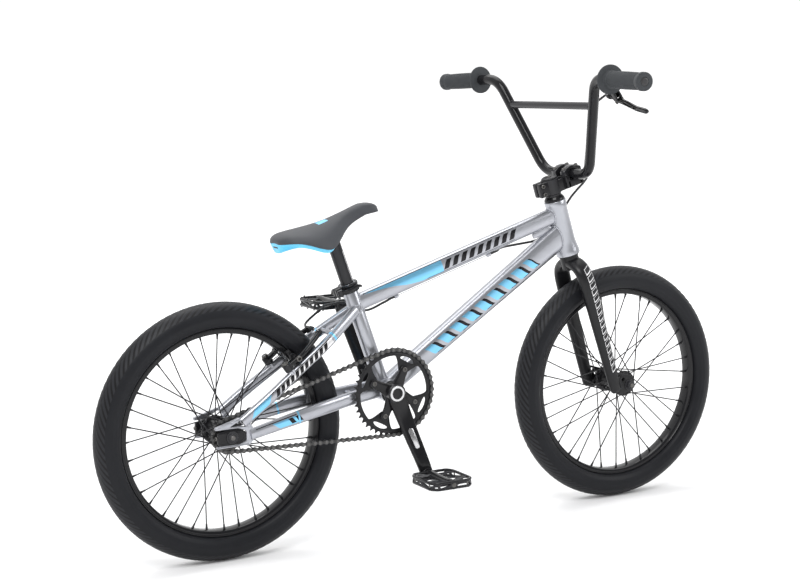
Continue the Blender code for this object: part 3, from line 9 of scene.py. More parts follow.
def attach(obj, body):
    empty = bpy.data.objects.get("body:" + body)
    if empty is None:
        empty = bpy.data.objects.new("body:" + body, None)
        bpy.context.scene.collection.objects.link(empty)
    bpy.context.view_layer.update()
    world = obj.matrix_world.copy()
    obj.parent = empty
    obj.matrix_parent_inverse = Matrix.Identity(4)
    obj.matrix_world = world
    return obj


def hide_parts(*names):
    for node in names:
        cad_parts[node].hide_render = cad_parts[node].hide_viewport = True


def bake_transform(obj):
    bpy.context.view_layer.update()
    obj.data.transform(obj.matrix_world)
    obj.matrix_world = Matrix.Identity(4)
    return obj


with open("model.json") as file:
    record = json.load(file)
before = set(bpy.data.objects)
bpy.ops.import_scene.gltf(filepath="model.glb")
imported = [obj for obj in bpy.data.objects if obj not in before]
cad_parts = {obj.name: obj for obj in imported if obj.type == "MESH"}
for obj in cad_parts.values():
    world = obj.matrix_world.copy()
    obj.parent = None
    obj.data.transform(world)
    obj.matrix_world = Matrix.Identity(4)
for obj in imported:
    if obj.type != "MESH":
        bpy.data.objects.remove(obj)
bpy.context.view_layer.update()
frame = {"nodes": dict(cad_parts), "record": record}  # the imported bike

joints = {joint["name"]: joint for joint in frame["record"]["behaviour"]["joints"]}
across = Vector((0.0, 1.0, 0.0))  # to the rider's left
ahead = Vector((1.0, 0.0, 0.0))
upward = Vector((0.0, 0.0, 1.0))
right, left = -1, 1
sides = {"left": left, "right": right}
gap = 0.0003  # clearance between pieces that touch


def jointPlace(name):
    return Vector(joints[name]["pos_m"])


def jointAxis(name):
    return Vector(joints[name]["axis"]).normalized()


# The bike's main lines, read from the joints
rearAxle = jointPlace("rear_wheel_spin")
frontAxle = jointPlace("front_wheel_spin")
bottomBracket = jointPlace("crank_spin")
headLow = jointPlace("steering_turn")
steerUp = jointAxis("steering_turn")
steerAhead = across.cross(steerUp).normalized()
seatUp = jointAxis("seat_height")
saddlePivot = jointPlace("saddle_tilt")
leverPivot = jointPlace("brake_lever_pull")
layout = {"headLength": 0.124, "seatTube": 0.241, "forkLength": 0.318, "forkOffset": 0.036,
          "stemBase": 0.1396, "barHeight": 0.1706, "stemReach": 0.047, "stemHeight": 0.034}


def onSteering(height, reach=0.0, side=0.0):
    return headLow + steerUp * height + steerAhead * reach + across * side


def onSeatTube(height, side=0.0):
    return bottomBracket + seatUp * height + across * side


def fromRearAxle(x, y, z):
    return rearAxle + Vector((x, y, z))


barCentre = onSteering(layout["barHeight"], layout["stemReach"])
print("frame loaded")


# Finishes

def fillInputs(tree, node, inputs):
    for name, value in inputs.items():  # a number, a colour or another node's output
        if isinstance(value, bpy.types.NodeSocket):
            tree.links.new(value, node.inputs[name])
        else:
            node.inputs[name].default_value = (*value, 1.0) if isinstance(value, tuple) else value


def addNode(tree, kind, inputs={}, **settings):
    node = tree.nodes.new(kind)
    for name, value in settings.items():
        setattr(node, name, value)
    fillInputs(tree, node, inputs)
    return node


def sumNode(tree, operation, first, second=0.0):
    return addNode(tree, "ShaderNodeMath", {0: first, 1: second}, operation=operation).outputs[0]


def mixNode(tree, share, low, high):
    return addNode(tree, "ShaderNodeMix", {0: share, 6: low, 7: high}, data_type="RGBA").outputs[2]


plainLook = {"metallic": 0.0, "coat": 0.0, "coatRough": 0.1, "sheen": 0.0, "specular": 0.5, "grain": 60.0,
             "pits": 900.0, "bump": 0.1, "worn": 0.25, "bands": ()}


def makeFinish(name, given):
    look = {**plainLook, "wornColour": given["shade"], **given}
    finish = bpy.data.materials.new(name)
    finish.use_nodes = True
    tree = finish.node_tree
    place = addNode(tree, "ShaderNodeTexCoord").outputs["Object"]
    grain = addNode(tree, "ShaderNodeTexNoise", {"Vector": place, "Scale": look["grain"], "Detail": 6.0})
    grain = grain.outputs["Fac"]
    low, high = look["rough"]
    rough = addNode(tree, "ShaderNodeMapRange", {"Value": grain, "To Min": low, "To Max": high})
    pits = addNode(tree, "ShaderNodeTexNoise", {"Vector": place, "Scale": look["pits"]}).outputs["Fac"]
    bump = addNode(tree, "ShaderNodeBump", {"Height": pits, "Strength": look["bump"], "Distance": 0.0002})
    edge = addNode(tree, "ShaderNodeNewGeometry").outputs["Pointiness"]  # worn edges are a little lighter
    worn = addNode(tree, "ShaderNodeMapRange", {"Value": edge, "From Min": 0.53, "From Max": 0.62,
                                                "To Max": look["worn"]})
    colour = mixNode(tree, grain, look["colour"], look["shade"])
    colour = mixNode(tree, worn.outputs["Result"], colour, look["wornColour"])
    for band in look["bands"]:
        colour = mixNode(tree, bandMask(tree, band), colour, band["colour"])
    fillInputs(tree, tree.nodes["Principled BSDF"], {
        "Base Color": colour, "Roughness": rough.outputs["Result"], "Normal": bump.outputs["Normal"],
        "Metallic": look["metallic"], "Coat Weight": look["coat"], "Coat Roughness": look["coatRough"],
        "Sheen Weight": look["sheen"], "Specular IOR Level": look["specular"]})
    return finish


def stripe(colour, start, end, top, bottom, slant=0.0, **more):
    # metres along the tube, and its ring: 0 on top, 0.25 at each side, 0.5 underneath
    return {"colour": colour, "start": start, "end": end, "top": top, "bottom": bottom, "slant": slant,
            "endSlant": slant, **more}


def bandMask(tree, band):
    chart = addNode(tree, "ShaderNodeUVMap", uv_map="along").outputs["UV"]
    split = addNode(tree, "ShaderNodeSeparateXYZ", {"Vector": chart})
    turned = sumNode(tree, "FRACT", sumNode(tree, "ADD", split.outputs["Y"], 0.25))
    ring = sumNode(tree, "ABSOLUTE", sumNode(tree, "SUBTRACT", turned, 0.5))
    run, endRun = [sumNode(tree, "ADD", split.outputs["X"], sumNode(tree, "MULTIPLY", ring, band[lean]))
                   for lean in ("slant", "endSlant")]
    tests = [("GREATER_THAN", run, band["start"]), ("LESS_THAN", endRun, band["end"]),
             ("GREATER_THAN", ring, band["top"]), ("LESS_THAN", ring, band["bottom"])]
    if "face" in band:  # only on the left or the right half of the tube
        tests.append(("LESS_THAN" if band["face"] > 0 else "GREATER_THAN", turned, 0.5))
    if "every" in band:  # broken into bars
        step = sumNode(tree, "DIVIDE", sumNode(tree, "SUBTRACT", run, band["start"]), band["every"])
        tests.append(("LESS_THAN", sumNode(tree, "FRACT", step), band["filled"]))
    mask = 1.0
    for test in tests:
        mask = sumNode(tree, "MULTIPLY", sumNode(tree, *test), mask)
    return mask


def onFace(bands, face):
    return [band if band.get("round") else {**band, "face": face} for band in bands]


skyBlue = (0.2, 0.54, 0.79)
ink = (0.012, 0.012, 0.014)
pale = (0.72, 0.72, 0.73)
# painted shade: a darker black laid into the tread grooves
paintedGrooveShade = (0.0075, 0.0075, 0.0085)
silverLook = {"colour": (0.405, 0.415, 0.45), "shade": (0.365, 0.375, 0.405), "rough": (0.26, 0.34),
              "metallic": 0.85, "coat": 0.25, "coatRough": 0.14, "grain": 45.0, "pits": 1800.0,
              "bump": 0.05, "worn": 0.2, "wornColour": (0.72, 0.72, 0.76)}
blackLook = {"colour": (0.0075, 0.0075, 0.0085), "shade": (0.012, 0.012, 0.0135), "rough": (0.22, 0.34),
             "coat": 0.08, "coatRough": 0.16, "specular": 0.24, "grain": 50.0, "pits": 1500.0,
             "bump": 0.06, "wornColour": (0.1, 0.1, 0.11)}
topBands = [stripe(skyBlue, -0.06, 0.212, 0.122, 0.33, -0.664, endSlant=0.0),
            stripe(ink, 0.02, 0.4, 0.098, 0.12),
            stripe(ink, 0.242, 0.428, 0.165, 0.3, 0.1, every=0.021, filled=0.6),
            stripe(ink, 0.17, 0.395, 0.325, 0.337)]
downBands = [stripe(ink, 0.099, 0.405, 0.185, 0.318, -0.13, every=0.0366, filled=0.62),
             stripe(skyBlue, 0.094, 0.401, 0.175, 0.308, -0.13, every=0.0366, filled=0.55),
             stripe(ink, 0.3, 0.48, 0.395, 0.408)]
stayBands = [stripe(skyBlue, 0.05, 0.096, 0.16, 0.335, 0.1),
             stripe((0.75, 0.75, 0.76), 0.1, 0.25, 0.175, 0.345),
             stripe(ink, 0.1, 0.25, 0.185, 0.335, 0.05, every=0.0137, filled=0.68),
             stripe(skyBlue, 0.256, 0.261, 0.0, 0.6, round=True),
             stripe(ink, 0.075, 0.25, 0.15, 0.172)]
chainStayBands = [stripe(skyBlue, 0.03, 0.082, 0.175, 0.335, -0.1),
                  stripe(ink, 0.072, 0.104, 0.185, 0.31, -0.06, every=0.016, filled=0.62),
                  stripe(ink, 0.012, 0.104, 0.128, 0.16),
                  stripe(skyBlue, 0.106, 0.11, 0.0, 0.6, round=True)]
seatBands = [stripe(skyBlue, 0.062, 0.165, 0.055, 0.135, 0.2), stripe(ink, 0.05, 0.17, 0.135, 0.145, 0.2)]
forkBands = [stripe(pale, 0.03, 0.268, 0.12, 0.262, -0.05, every=0.015, filled=0.8),
             stripe(ink, 0.031, 0.268, 0.128, 0.254, -0.05, every=0.015, filled=0.58)]
# painted sheen: the tread band is coloured lighter than the side wall
treadBands = [stripe((0.0215, 0.0222, 0.0255), 0.0, 2.0, 0.0, 0.201),
              # painted shade: dark slanted bars and a dark ring laid into the grooves
              stripe(paintedGrooveShade, -0.0019, 2.0, 0.067, 0.201, -0.2153, every=0.01538, filled=0.46),
              stripe(paintedGrooveShade, -0.001, 2.0, 0.0, 0.0536, -0.2153, every=0.01538, filled=0.3),
              stripe(paintedGrooveShade, 0.0, 2.0, 0.0536, 0.062)]
saddleBands = [stripe(skyBlue, 0.1, 0.124, 0.474, 0.6)]

silver = makeFinish("silver_paint", silverLook)
topPaint = makeFinish("top_tube_paint", {**silverLook, "bands": topBands})
downPaint = makeFinish("down_tube_paint", {**silverLook, "bands": downBands})
seatPaint = makeFinish("seat_tube_paint", {**silverLook, "bands": seatBands})
stayPaint, chainStayPaint, forkPaint = {}, {}, {}
for word, side in sides.items():
    stayPaint[side] = makeFinish("stay_paint_" + word, {**silverLook, "bands": onFace(stayBands, side)})
    chainStayPaint[side] = makeFinish("chain_stay_paint_" + word,
                                      {**silverLook, "bands": onFace(chainStayBands, side)})
    forkPaint[side] = makeFinish("fork_paint_" + word,
                                 {**blackLook, "rough": (0.3, 0.42), "bands": onFace(forkBands, side)})
weldMetal = makeFinish("weld_bead", {**silverLook, "rough": (0.36, 0.5), "bump": 0.2, "pits": 700.0})
blackGloss = makeFinish("black_gloss", {**blackLook, "rough": (0.12, 0.2), "coat": 0.1, "coatRough": 0.05,
                                        "specular": 0.2})
blackSatin = makeFinish("black_satin", {**blackLook, "rough": (0.34, 0.46)})
blackMatt = makeFinish("black_matt", {**blackLook, "rough": (0.48, 0.62), "coat": 0.0})
steelDark = makeFinish("dark_steel", {"colour": (0.055, 0.054, 0.053), "shade": (0.11, 0.105, 0.1),
                                      "rough": (0.3, 0.5), "metallic": 0.9, "grain": 160.0,
                                      "wornColour": (0.32, 0.31, 0.3), "worn": 0.5})
chainSteel = makeFinish("chain_steel", {"colour": (0.016, 0.016, 0.017), "shade": (0.035, 0.034, 0.034),
                                        "rough": (0.26, 0.42), "metallic": 0.6, "grain": 180.0,
                                        "wornColour": (0.2, 0.2, 0.2), "worn": 0.5})
steelBright = makeFinish("bright_steel", {"colour": (0.66, 0.66, 0.67), "shade": (0.52, 0.52, 0.53),
                                          "rough": (0.18, 0.3), "metallic": 1.0, "grain": 120.0})
tyreRubber = makeFinish("tyre_rubber", {"colour": (0.0085, 0.009, 0.011), "shade": (0.0135, 0.0142, 0.017),
                                        "rough": (0.38, 0.52), "grain": 30.0, "pits": 650.0, "bump": 0.25,
                                        "specular": 0.17, "bands": treadBands})
gripRubber = makeFinish("grip_rubber", {"colour": (0.03, 0.033, 0.037), "shade": (0.042, 0.046, 0.05),
                                        "rough": (0.6, 0.78), "grain": 90.0, "pits": 800.0, "bump": 0.2,
                                        "sheen": 0.05, "specular": 0.3})
saddleCover = makeFinish("saddle_cover", {"colour": (0.036, 0.039, 0.045), "shade": (0.046, 0.049, 0.056),
                                          "rough": (0.52, 0.64), "grain": 70.0, "pits": 1400.0,
                                          "bump": 0.3, "sheen": 0.08, "specular": 0.35, "bands": saddleBands})
bluePlastic = makeFinish("blue_plastic", {"colour": (0.12, 0.6, 0.9), "shade": (0.1, 0.54, 0.84),
                                          "rough": (0.3, 0.4), "grain": 40.0,
                                          "wornColour": (0.3, 0.75, 0.95)})
blackPlastic = makeFinish("black_plastic", {"colour": (0.016, 0.016, 0.017), "shade": (0.028, 0.028, 0.03),
                                            "rough": (0.36, 0.5), "grain": 130.0, "pits": 1100.0})
print("finishes made")


# Mesh helpers: every shape goes into one bmesh with its lengths and turns as UVs

def startShape():
    bm = bmesh.new()
    bm.loops.layers.uv.new("along")
    return bm


def addRings(bm, rings, finish=0, closed=False, caps=True):
    chart = bm.loops.layers.uv["along"]
    rows = [[bm.verts.new(point) for point in ring] for ring in rings]
    middles = [sum(ring, Vector()) / len(ring) for ring in rings]
    runs = [0.0]
    for before, after, low, high in zip(middles, middles[1:], rings, rings[1:]):
        runs.append(runs[-1] + max((after - before).length, 0.2 * (high[0] - low[0]).length))
    pairs = list(zip(rows, rows[1:], runs, runs[1:]))
    if closed:
        pairs.append((rows[-1], rows[0], runs[-1], runs[-1] + (middles[-1] - middles[0]).length))
    count = len(rings[0])
    for low, high, start, end in pairs:
        for i in range(count):
            j = (i + 1) % count
            face = bm.faces.new((low[i], low[j], high[j], high[i]))
            face.material_index = finish
            corners = ((start, i), (start, i + 1), (end, i + 1), (end, i))
            for loop, (run, turn) in zip(face.loops, corners):
                loop[chart].uv = (run, turn / count)
    if caps and not closed:
        for row in (rows[0], rows[-1]):
            bm.faces.new(row).material_index = finish


def axesFor(direction, sideways=across):
    along = direction.normalized()
    if abs(along.dot(sideways)) > 0.99:
        sideways = ahead
    first = sideways.cross(along).normalized()
    return first, along.cross(first), along


def turns(count):
    return [2 * pi * i / count for i in range(count)]


def addTurned(bm, profile, origin, axis, finish=0, count=48, hollow=False):
    first, second, along = axesFor(axis)
    spread = [first * cos(angle) + second * sin(angle) for angle in turns(count)]
    rings = [[origin + along * height + out * radius for out in spread] for radius, height in profile]
    addRings(bm, rings, finish, closed=hollow)


def addRod(bm, start, end, radius, finish=0, count=32, edge=0.0006):
    length = (end - start).length
    profile = [(radius - edge, 0.0), (radius, edge), (radius, length - edge), (radius - edge, length)]
    addTurned(bm, profile, start, end - start, finish, count)


def addSleeve(bm, start, end, radius, bore, finish=0, count=40, edge=0.0006):
    length = (end - start).length
    profile = [(bore, edge), (bore + edge, 0.0), (radius - edge, 0.0), (radius, edge),
               (radius, length - edge), (radius - edge, length), (bore + edge, length), (bore, length - edge)]
    addTurned(bm, profile, start, end - start, finish, count, hollow=True)


def ovalRing(centre, wide, tall, halfWide, halfTall, count, fullness):
    ring = []
    for angle in turns(count):
        x, y = [copysign(abs(part) ** fullness, part) for part in (cos(angle), sin(angle))]
        ring.append(centre + wide * (x * halfWide) + tall * (y * halfTall))
    return ring


def addOval(bm, sections, finish=0, count=40, fullness=0.8, wide=across):
    # each section is (centre, width, depth)
    rings = []
    for i, (centre, width, depth) in enumerate(sections):
        along = sections[min(i + 1, len(sections) - 1)][0] - sections[max(i - 1, 0)][0]
        tall = along.cross(wide).normalized()
        flat = tall.cross(along).normalized()
        rings.append(ovalRing(centre, flat, tall, width / 2, depth / 2, count, fullness))
    addRings(bm, rings, finish)


def eased(sections, steps=6):
    # smooth run through the given (centre, width, depth) sections
    out = []
    padded = [sections[0], *sections, sections[-1]]
    for a, b, c, d in zip(padded, padded[1:], padded[2:], padded[3:]):
        for i in range(steps):
            t = i / steps
            out.append(tuple(curveAt(p, q, r, s, t) for p, q, r, s in zip(a, b, c, d)))
    out.append(sections[-1])
    return out


def curveAt(a, b, c, d, t):
    square, cube = a * 2 - b * 5 + c * 4 - d, b * 3 - a - c * 3 + d
    return 0.5 * (b * 2 + (c - a) * t + square * t ** 2 + cube * t ** 3)


def smoothRoute(points, steps=8):
    padded = [points[0] * 2 - points[1], *points, points[-1] * 2 - points[-2]]
    route = []
    for a, b, c, d in zip(padded, padded[1:], padded[2:], padded[3:]):
        route += [curveAt(a, b, c, d, i / steps) for i in range(steps)]
    route.append(points[-1])
    return route


def bend(start, corner, end, steps):
    shares = [i / steps for i in range(steps + 1)]
    return [start * (1 - t) ** 2 + corner * 2 * t * (1 - t) + end * t ** 2 for t in shares]


def roundedRoute(corners, radius, steps=12):
    route = [corners[0]]
    for before, corner, after in zip(corners, corners[1:], corners[2:]):
        inward, outward = (before - corner).normalized(), (after - corner).normalized()
        reach = radius * tan((pi - inward.angle(outward)) / 2)
        route += bend(corner + inward * reach, corner, corner + outward * reach, steps)
    route.append(corners[-1])
    return route


def addTube(bm, points, radii, finish=0, count=20, closed=False):
    if not isinstance(radii, (list, tuple)):
        radii = [radii] * len(points)
    total = len(points)
    wide = None
    rings = []
    for i, (point, radius) in enumerate(zip(points, radii)):
        if closed:
            along = (points[(i + 1) % total] - points[i - 1]).normalized()
        else:
            along = (points[min(i + 1, total - 1)] - points[max(i - 1, 0)]).normalized()
        if wide is None:
            wide = axesFor(along)[0]
        wide = (wide - along * wide.dot(along)).normalized()
        tall = along.cross(wide)
        rings.append([point + (wide * cos(angle) + tall * sin(angle)) * radius for angle in turns(count)])
    addRings(bm, rings, finish, closed=closed)


def takeMesh(bm, mesh, finish, matrix):
    before = len(bm.faces)
    mesh.transform(matrix)
    bm.from_mesh(mesh)
    bm.faces.ensure_lookup_table()
    for face in bm.faces[before:]:
        face.material_index = finish
    bpy.data.meshes.remove(mesh)


def addPlate(bm, outlines, thickness, matrix, finish=0, edge=0.0005):
    curve = bpy.data.curves.new("outline", "CURVE")
    curve.dimensions = "2D"
    curve.fill_mode = "BOTH"
    curve.extrude = thickness / 2 - edge
    curve.bevel_depth = edge
    curve.bevel_resolution = 1
    curve.offset = -edge
    for outline in outlines:
        spline = curve.splines.new("POLY")
        spline.points.add(len(outline) - 1)
        for point, (x, y) in zip(spline.points, outline):
            point.co = (x, y, 0.0, 1.0)
        spline.use_cyclic_u = True
    shape = bpy.data.objects.new("outline", curve)
    bpy.context.scene.collection.objects.link(shape)
    bpy.context.view_layer.update()
    graph = bpy.context.evaluated_depsgraph_get()
    mesh = bpy.data.meshes.new_from_object(shape.evaluated_get(graph))
    bpy.data.objects.remove(shape, do_unlink=True)
    bpy.data.curves.remove(curve)
    flat = bmesh.new()
    flat.from_mesh(mesh)
    bmesh.ops.remove_doubles(flat, verts=flat.verts, dist=0.000005)
    flat.to_mesh(mesh)
    flat.free()
    takeMesh(bm, mesh, finish, matrix)


def addBlock(bm, size, matrix, finish=0, edge=0.002, steps=3):
    cube = bmesh.new()
    bmesh.ops.create_cube(cube, size=1.0)
    bmesh.ops.scale(cube, vec=size, verts=cube.verts)
    bmesh.ops.bevel(cube, geom=cube.edges[:], offset=edge, segments=steps, profile=0.6, affect="EDGES")
    mesh = bpy.data.meshes.new("block")
    cube.to_mesh(mesh)
    cube.free()
    takeMesh(bm, mesh, finish, matrix)


def placed(origin, x, y, z):
    return Matrix.Translation(origin) @ Matrix((x, y, z)).transposed().to_4x4()


def inWheel(angle):
    return ahead * cos(angle) + upward * sin(angle)


def addBolt(bm, place, axis, radius, height, finish=0, socket=0.55):
    hole = radius * socket
    profile = [(radius * 0.96, -0.0005), (radius, 0.0), (radius, height * 0.75), (radius * 0.88, height),
               (hole * 1.06, height), (hole, height * 0.9), (hole, height * 0.3)]
    addTurned(bm, profile, place, axis, finish, 18)


def addBead(bm, points, radius, finish=0, scallops=26):
    # a row of weld pool marks on a closed line
    total = len(points)
    radii = [radius * (0.82 + 0.18 * cos(2 * pi * scallops * i / total)) for i in range(total)]
    addTube(bm, points, radii, finish, 10, closed=True)


def meetCylinder(ring, along, origin, axis, radius):
    # where lines from a tube's ring, running along it, meet a cylinder
    line = []
    for point in ring:
        offset = point - origin
        offset = offset - axis * offset.dot(axis)
        run = along - axis * along.dot(axis)
        a, b, c = run.dot(run), 2 * offset.dot(run), offset.dot(offset) - radius * radius
        inner = max(b * b - 4 * a * c, 0.0)
        line.append(point + along * ((-b - sqrt(inner)) / (2 * a)))
    return line


def arc(centre, radius, start, end, count):
    angles = [start + (end - start) * i / count for i in range(count + 1)]
    return [(centre[0] + radius * cos(a), centre[1] + radius * sin(a)) for a in angles]


def circle(centre, radius, count=28):
    return arc(centre, radius, 0.0, 2 * pi, count)[:-1]


def roundedOutline(corners, radius, steps=4):
    outline = []
    for i, corner in enumerate(corners):
        point = Vector(corner)
        ends = []
        for other in (corners[i - 1], corners[(i + 1) % len(corners)]):
            run = Vector(other) - point
            ends.append(point + run.normalized() * min(radius, run.length * 0.45))
        outline += [(spot.x, spot.y) for spot in bend(ends[0], point, ends[1], steps)]
    return outline


def makePiece(name, bm, body, finishes, replaced=(), sharp=38, ride=True):
    bmesh.ops.recalc_face_normals(bm, faces=bm.faces)
    mesh = bpy.data.meshes.new(name)
    bm.to_mesh(mesh)
    bm.free()
    for finish in finishes:
        mesh.materials.append(finish)
    mesh.shade_smooth()
    mesh.set_sharp_from_angle(angle=radians(sharp))
    piece = bpy.data.objects.new(name, mesh)
    bpy.context.scene.collection.objects.link(piece)
    if ride:
        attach(piece, body)
    if replaced:
        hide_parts(*replaced)
    return piece


# Camera at the photograph's place
cameraPlace = {"place": (-1.66396, -3.02676, 0.97286), "yaw": 0.4859, "pitch": 0.1368, "roll": -0.0211,
               "lens": 74.9}


def makeCamera():
    yaw, pitch, roll = cameraPlace["yaw"], cameraPlace["pitch"], cameraPlace["roll"]
    look = Vector((sin(yaw) * cos(pitch), cos(yaw) * cos(pitch), -sin(pitch)))
    level = Vector((cos(yaw), -sin(yaw), 0.0))
    rise = level.cross(look)
    c, s = cos(roll), sin(roll)
    data = bpy.data.cameras.new("camera")
    data.sensor_width = 36.0
    data.lens = cameraPlace["lens"]
    camera = bpy.data.objects.new("camera", data)
    place = Vector(cameraPlace["place"])
    camera.matrix_world = placed(place, level * c + rise * s, rise * c - level * s, look * -1)
    bpy.context.scene.collection.objects.link(camera)
    bpy.context.scene.camera = camera


makeCamera()

# Brake cable: housings stop under the top tube and a bare wire runs between them
cableSet = {"housing": 0.0025, "wire": 0.0008, "stopHalf": 0.005, "stops": (0.095, 0.33), "drop": 0.021}
topRear, topFront = onSeatTube(0.194), onSteering(0.094)
topAlong = (topFront - topRear).normalized()
topUnder = topAlong.cross(across) * -1
cableLine = topRear + topUnder * cableSet["drop"]
rearStop, frontStop = [cableLine + topAlong * distance for distance in cableSet["stops"]]
barSet = {"rise": 0.212, "halfWidth": 0.385, "backsweep": 0.02, "baseHalf": 0.073, "topHalf": 0.203,
          "bend": 0.054, "cornerIn": 0.012, "radius": 0.0111, "crossRadius": 0.0082, "crossRise": 0.153}


def barPoint(rise, side, back=0.0):
    return barCentre + steerUp * rise + across * side - steerAhead * back


def barEnd(side):
    inner = barPoint(barSet["rise"], side * barSet["topHalf"])
    outer = barPoint(barSet["rise"], side * barSet["halfWidth"], barSet["backsweep"])
    return inner, outer, (outer - inner).normalized()


gripSet = {"length": 0.134, "radius": 0.0172, "flange": 0.03, "cap": 0.004, "ribs": 24}
leverSet = {"clampWidth": 0.016, "clampRadius": 0.0155, "reach": 0.05, "length": 0.094, "thick": 0.007}
gripInner, gripOuter, gripAlong = barEnd(right)
leverAxis = jointAxis("brake_lever_pull") * -1
leverAhead = leverAxis.cross(gripAlong).normalized()
leverClamp = gripOuter - gripAlong * (gripSet["length"] + 0.004 + leverSet["clampWidth"] / 2)
adjusterStart = leverClamp + leverAhead * (leverSet["reach"] - 0.008) - gripAlong * 0.004
adjusterEnd = adjusterStart - gripAlong * 0.03


def makeCables():
    reach = cableSet["stopHalf"] + gap
    start = adjusterEnd - gripAlong * gap * 3
    end = frontStop + topAlong * reach
    height = layout["barHeight"]
    top = layout["headLength"]
    uprightTop = gripInner - gripAlong * barSet["cornerIn"]
    uprightFoot = barPoint(0.0, right * (barSet["baseHalf"] + barSet["cornerIn"]))
    beside = Vector((0.46, 0.88, -0.14))
    route = [start, start - gripAlong * 0.018 + ahead * 0.003]
    for share, apart in ((0.3, 0.055), (0.62, 0.075), (0.9, 0.085)):  # down inside the right upright
        route.append(uprightTop.lerp(uprightFoot, share) + beside * apart)
    route += [onSteering(height - 0.031, 0.1, 0.012), onSteering(top - 0.016, 0.066, 0.036),
              onSteering(top - 0.052, 0.02, 0.04), onSteering(top - 0.078, -0.032, 0.032),
              end + topAlong * 0.05 + across * 0.026 + topUnder * 0.006,
              end + topAlong * 0.024 + across * 0.01 + topUnder * 0.003, end + topAlong * 0.01, end]
    path = smoothRoute(route, 3)
    shape = startShape()
    addTube(shape, path, cableSet["housing"], 0, 14)
    loop = makePiece("brake_cable_front", shape, "", [blackPlastic], ["brake_housing_front"],
                     ride=False)
    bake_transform(loop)
    length = sum((b - a).length for a, b in zip(path, path[1:]))
    shape = startShape()
    addTube(shape, [rearStop + topAlong * reach * t for t in (1.0, 1.5)] + [frontStop - topAlong * reach],
            cableSet["wire"], 0, 10)
    makePiece("brake_wire", shape, "main_frame", [steelBright], ["brake_inner_cable"])
    return length


frontCableLength = makeCables()
print("front brake cable", round(frontCableLength, 3), "m")

# Wheels
tyreSet = {"radius": 0.26, "half": 0.029, "round": 384, "bead": 0.2035, "groove": 0.0008, "every": 4,
           "foot": ((0.2035, 0.0125), (0.2098, 0.0128), (0.2104, 0.0172))}
rimSet = {"radius": 0.2095, "inner": 0.1975, "half": 0.016, "lip": 0.0014}
hubSet = {"flange": 0.0285, "thick": 0.004, "shell": 0.019, "bore": 0.0145}
spokeSet = {"count": 18, "crosses": 3, "radius": 0.0013, "hole": 0.025, "nipple": 0.0021,
            "nippleLength": 0.012}


def grooveDepth(lean, phase):
    if 20 < lean < 58 and phase < 2:
        return tyreSet["groove"]
    if lean < 16 and phase < 1:
        return tyreSet["groove"] * 0.6
    if 16 <= lean < 20:
        return tyreSet["groove"] * 0.8
    if 86 < lean < 91 or 104 < lean < 108:
        return -0.0006  # moulding lines on the side wall
    return 0.0


def addTyre(bm, centre):
    middle = tyreSet["radius"] - tyreSet["half"]
    angles = [radians(128 - 256 * k / 48) for k in range(49)]
    rings = []
    for i, turn in enumerate(turns(tyreSet["round"])):
        out = inWheel(turn)
        ring = [centre + out * radius + across * place for radius, place in tyreSet["foot"]]
        for k, angle in enumerate(angles):
            phase = (i + (k if angle > 0 else -k)) % tyreSet["every"]
            radius = tyreSet["half"] - grooveDepth(abs(degrees(angle)), phase)
            ring.append(centre + out * (middle + radius * cos(angle)) + across * radius * sin(angle))
        ring += [centre + out * radius - across * place for radius, place in reversed(tyreSet["foot"])]
        ring.append(centre + out * (tyreSet["bead"] + 0.003))
        rings.append(ring[13:] + ring[:13])  # so the tread's middle has the top of the paint chart
    addRings(bm, rings, 0, closed=True)


def addRim(bm, centre, valve):
    outer, inner, half, lip = rimSet["radius"], rimSet["inner"], rimSet["half"], rimSet["lip"]
    profile = [(outer - 0.0004, half - 0.0008), (outer - 0.0014, half - 0.0002),
               (outer - 0.003, half - 0.0003), (outer - 0.0038, half - 0.0014),
               (inner + 0.0035, half - 0.0016), (inner + 0.001, half - 0.003),
               (inner, half - 0.006)]
    profile += [(radius, -side) for radius, side in reversed(profile)]
    profile += [(outer, -half + lip), (outer - 0.0062, -half + 0.0022), (outer - 0.0072, 0.0),
                (outer - 0.0062, half - 0.0022), (outer, half - lip)]
    addTurned(bm, profile, centre, across, 0, 160, hollow=True)
    valveOut = inWheel(valve)
    addTurned(bm, [(0.0045, -0.001), (0.0042, 0.004), (0.003, 0.006), (0.0029, 0.014), (0.0032, 0.015),
                   (0.0032, 0.023), (0.0026, 0.024)], centre + valveOut * inner, valveOut * -1, 1, 18)


def addSpokes(bm, centre, side, flangePlace):
    step = 2 * pi / spokeSet["count"]
    phase = 0.0 if side == left else step / 2
    for i in range(spokeSet["count"]):
        lead = 1 if i % 2 == 0 else -1
        hubAngle = i * step + phase
        rimAngle = hubAngle + lead * spokeSet["crosses"] * step
        face = side * (flangePlace + lead * (hubSet["thick"] / 2 + 0.0012))
        start = centre + inWheel(hubAngle) * spokeSet["hole"] + across * face
        end = centre + inWheel(rimAngle) * (rimSet["inner"] + 0.001) + across * side * 0.004
        run = (end - start).normalized()
        neck = end - run * spokeSet["nippleLength"]
        mid = (start + neck) / 2 - across * side * lead * 0.0006
        addTube(bm, [start, start + run * 0.02, mid, neck, end], spokeSet["radius"], 0, 8)
        nipple = spokeSet["nipple"]
        addTurned(bm, [(nipple * 0.62, 0.0), (nipple * 0.9, 0.001), (nipple, 0.006), (nipple * 1.25, 0.0085),
                       (nipple * 1.25, 0.012)], neck, run, 0, 8)
        elbow = start - across * side * lead * (hubSet["thick"] + 0.0012)
        addTube(bm, [elbow, start], spokeSet["radius"], 0, 8)
        addTurned(bm, [(0.0006, -0.001), (0.0019, -0.0006), (0.0019, 0.0002)], elbow, start - elbow, 0, 8)


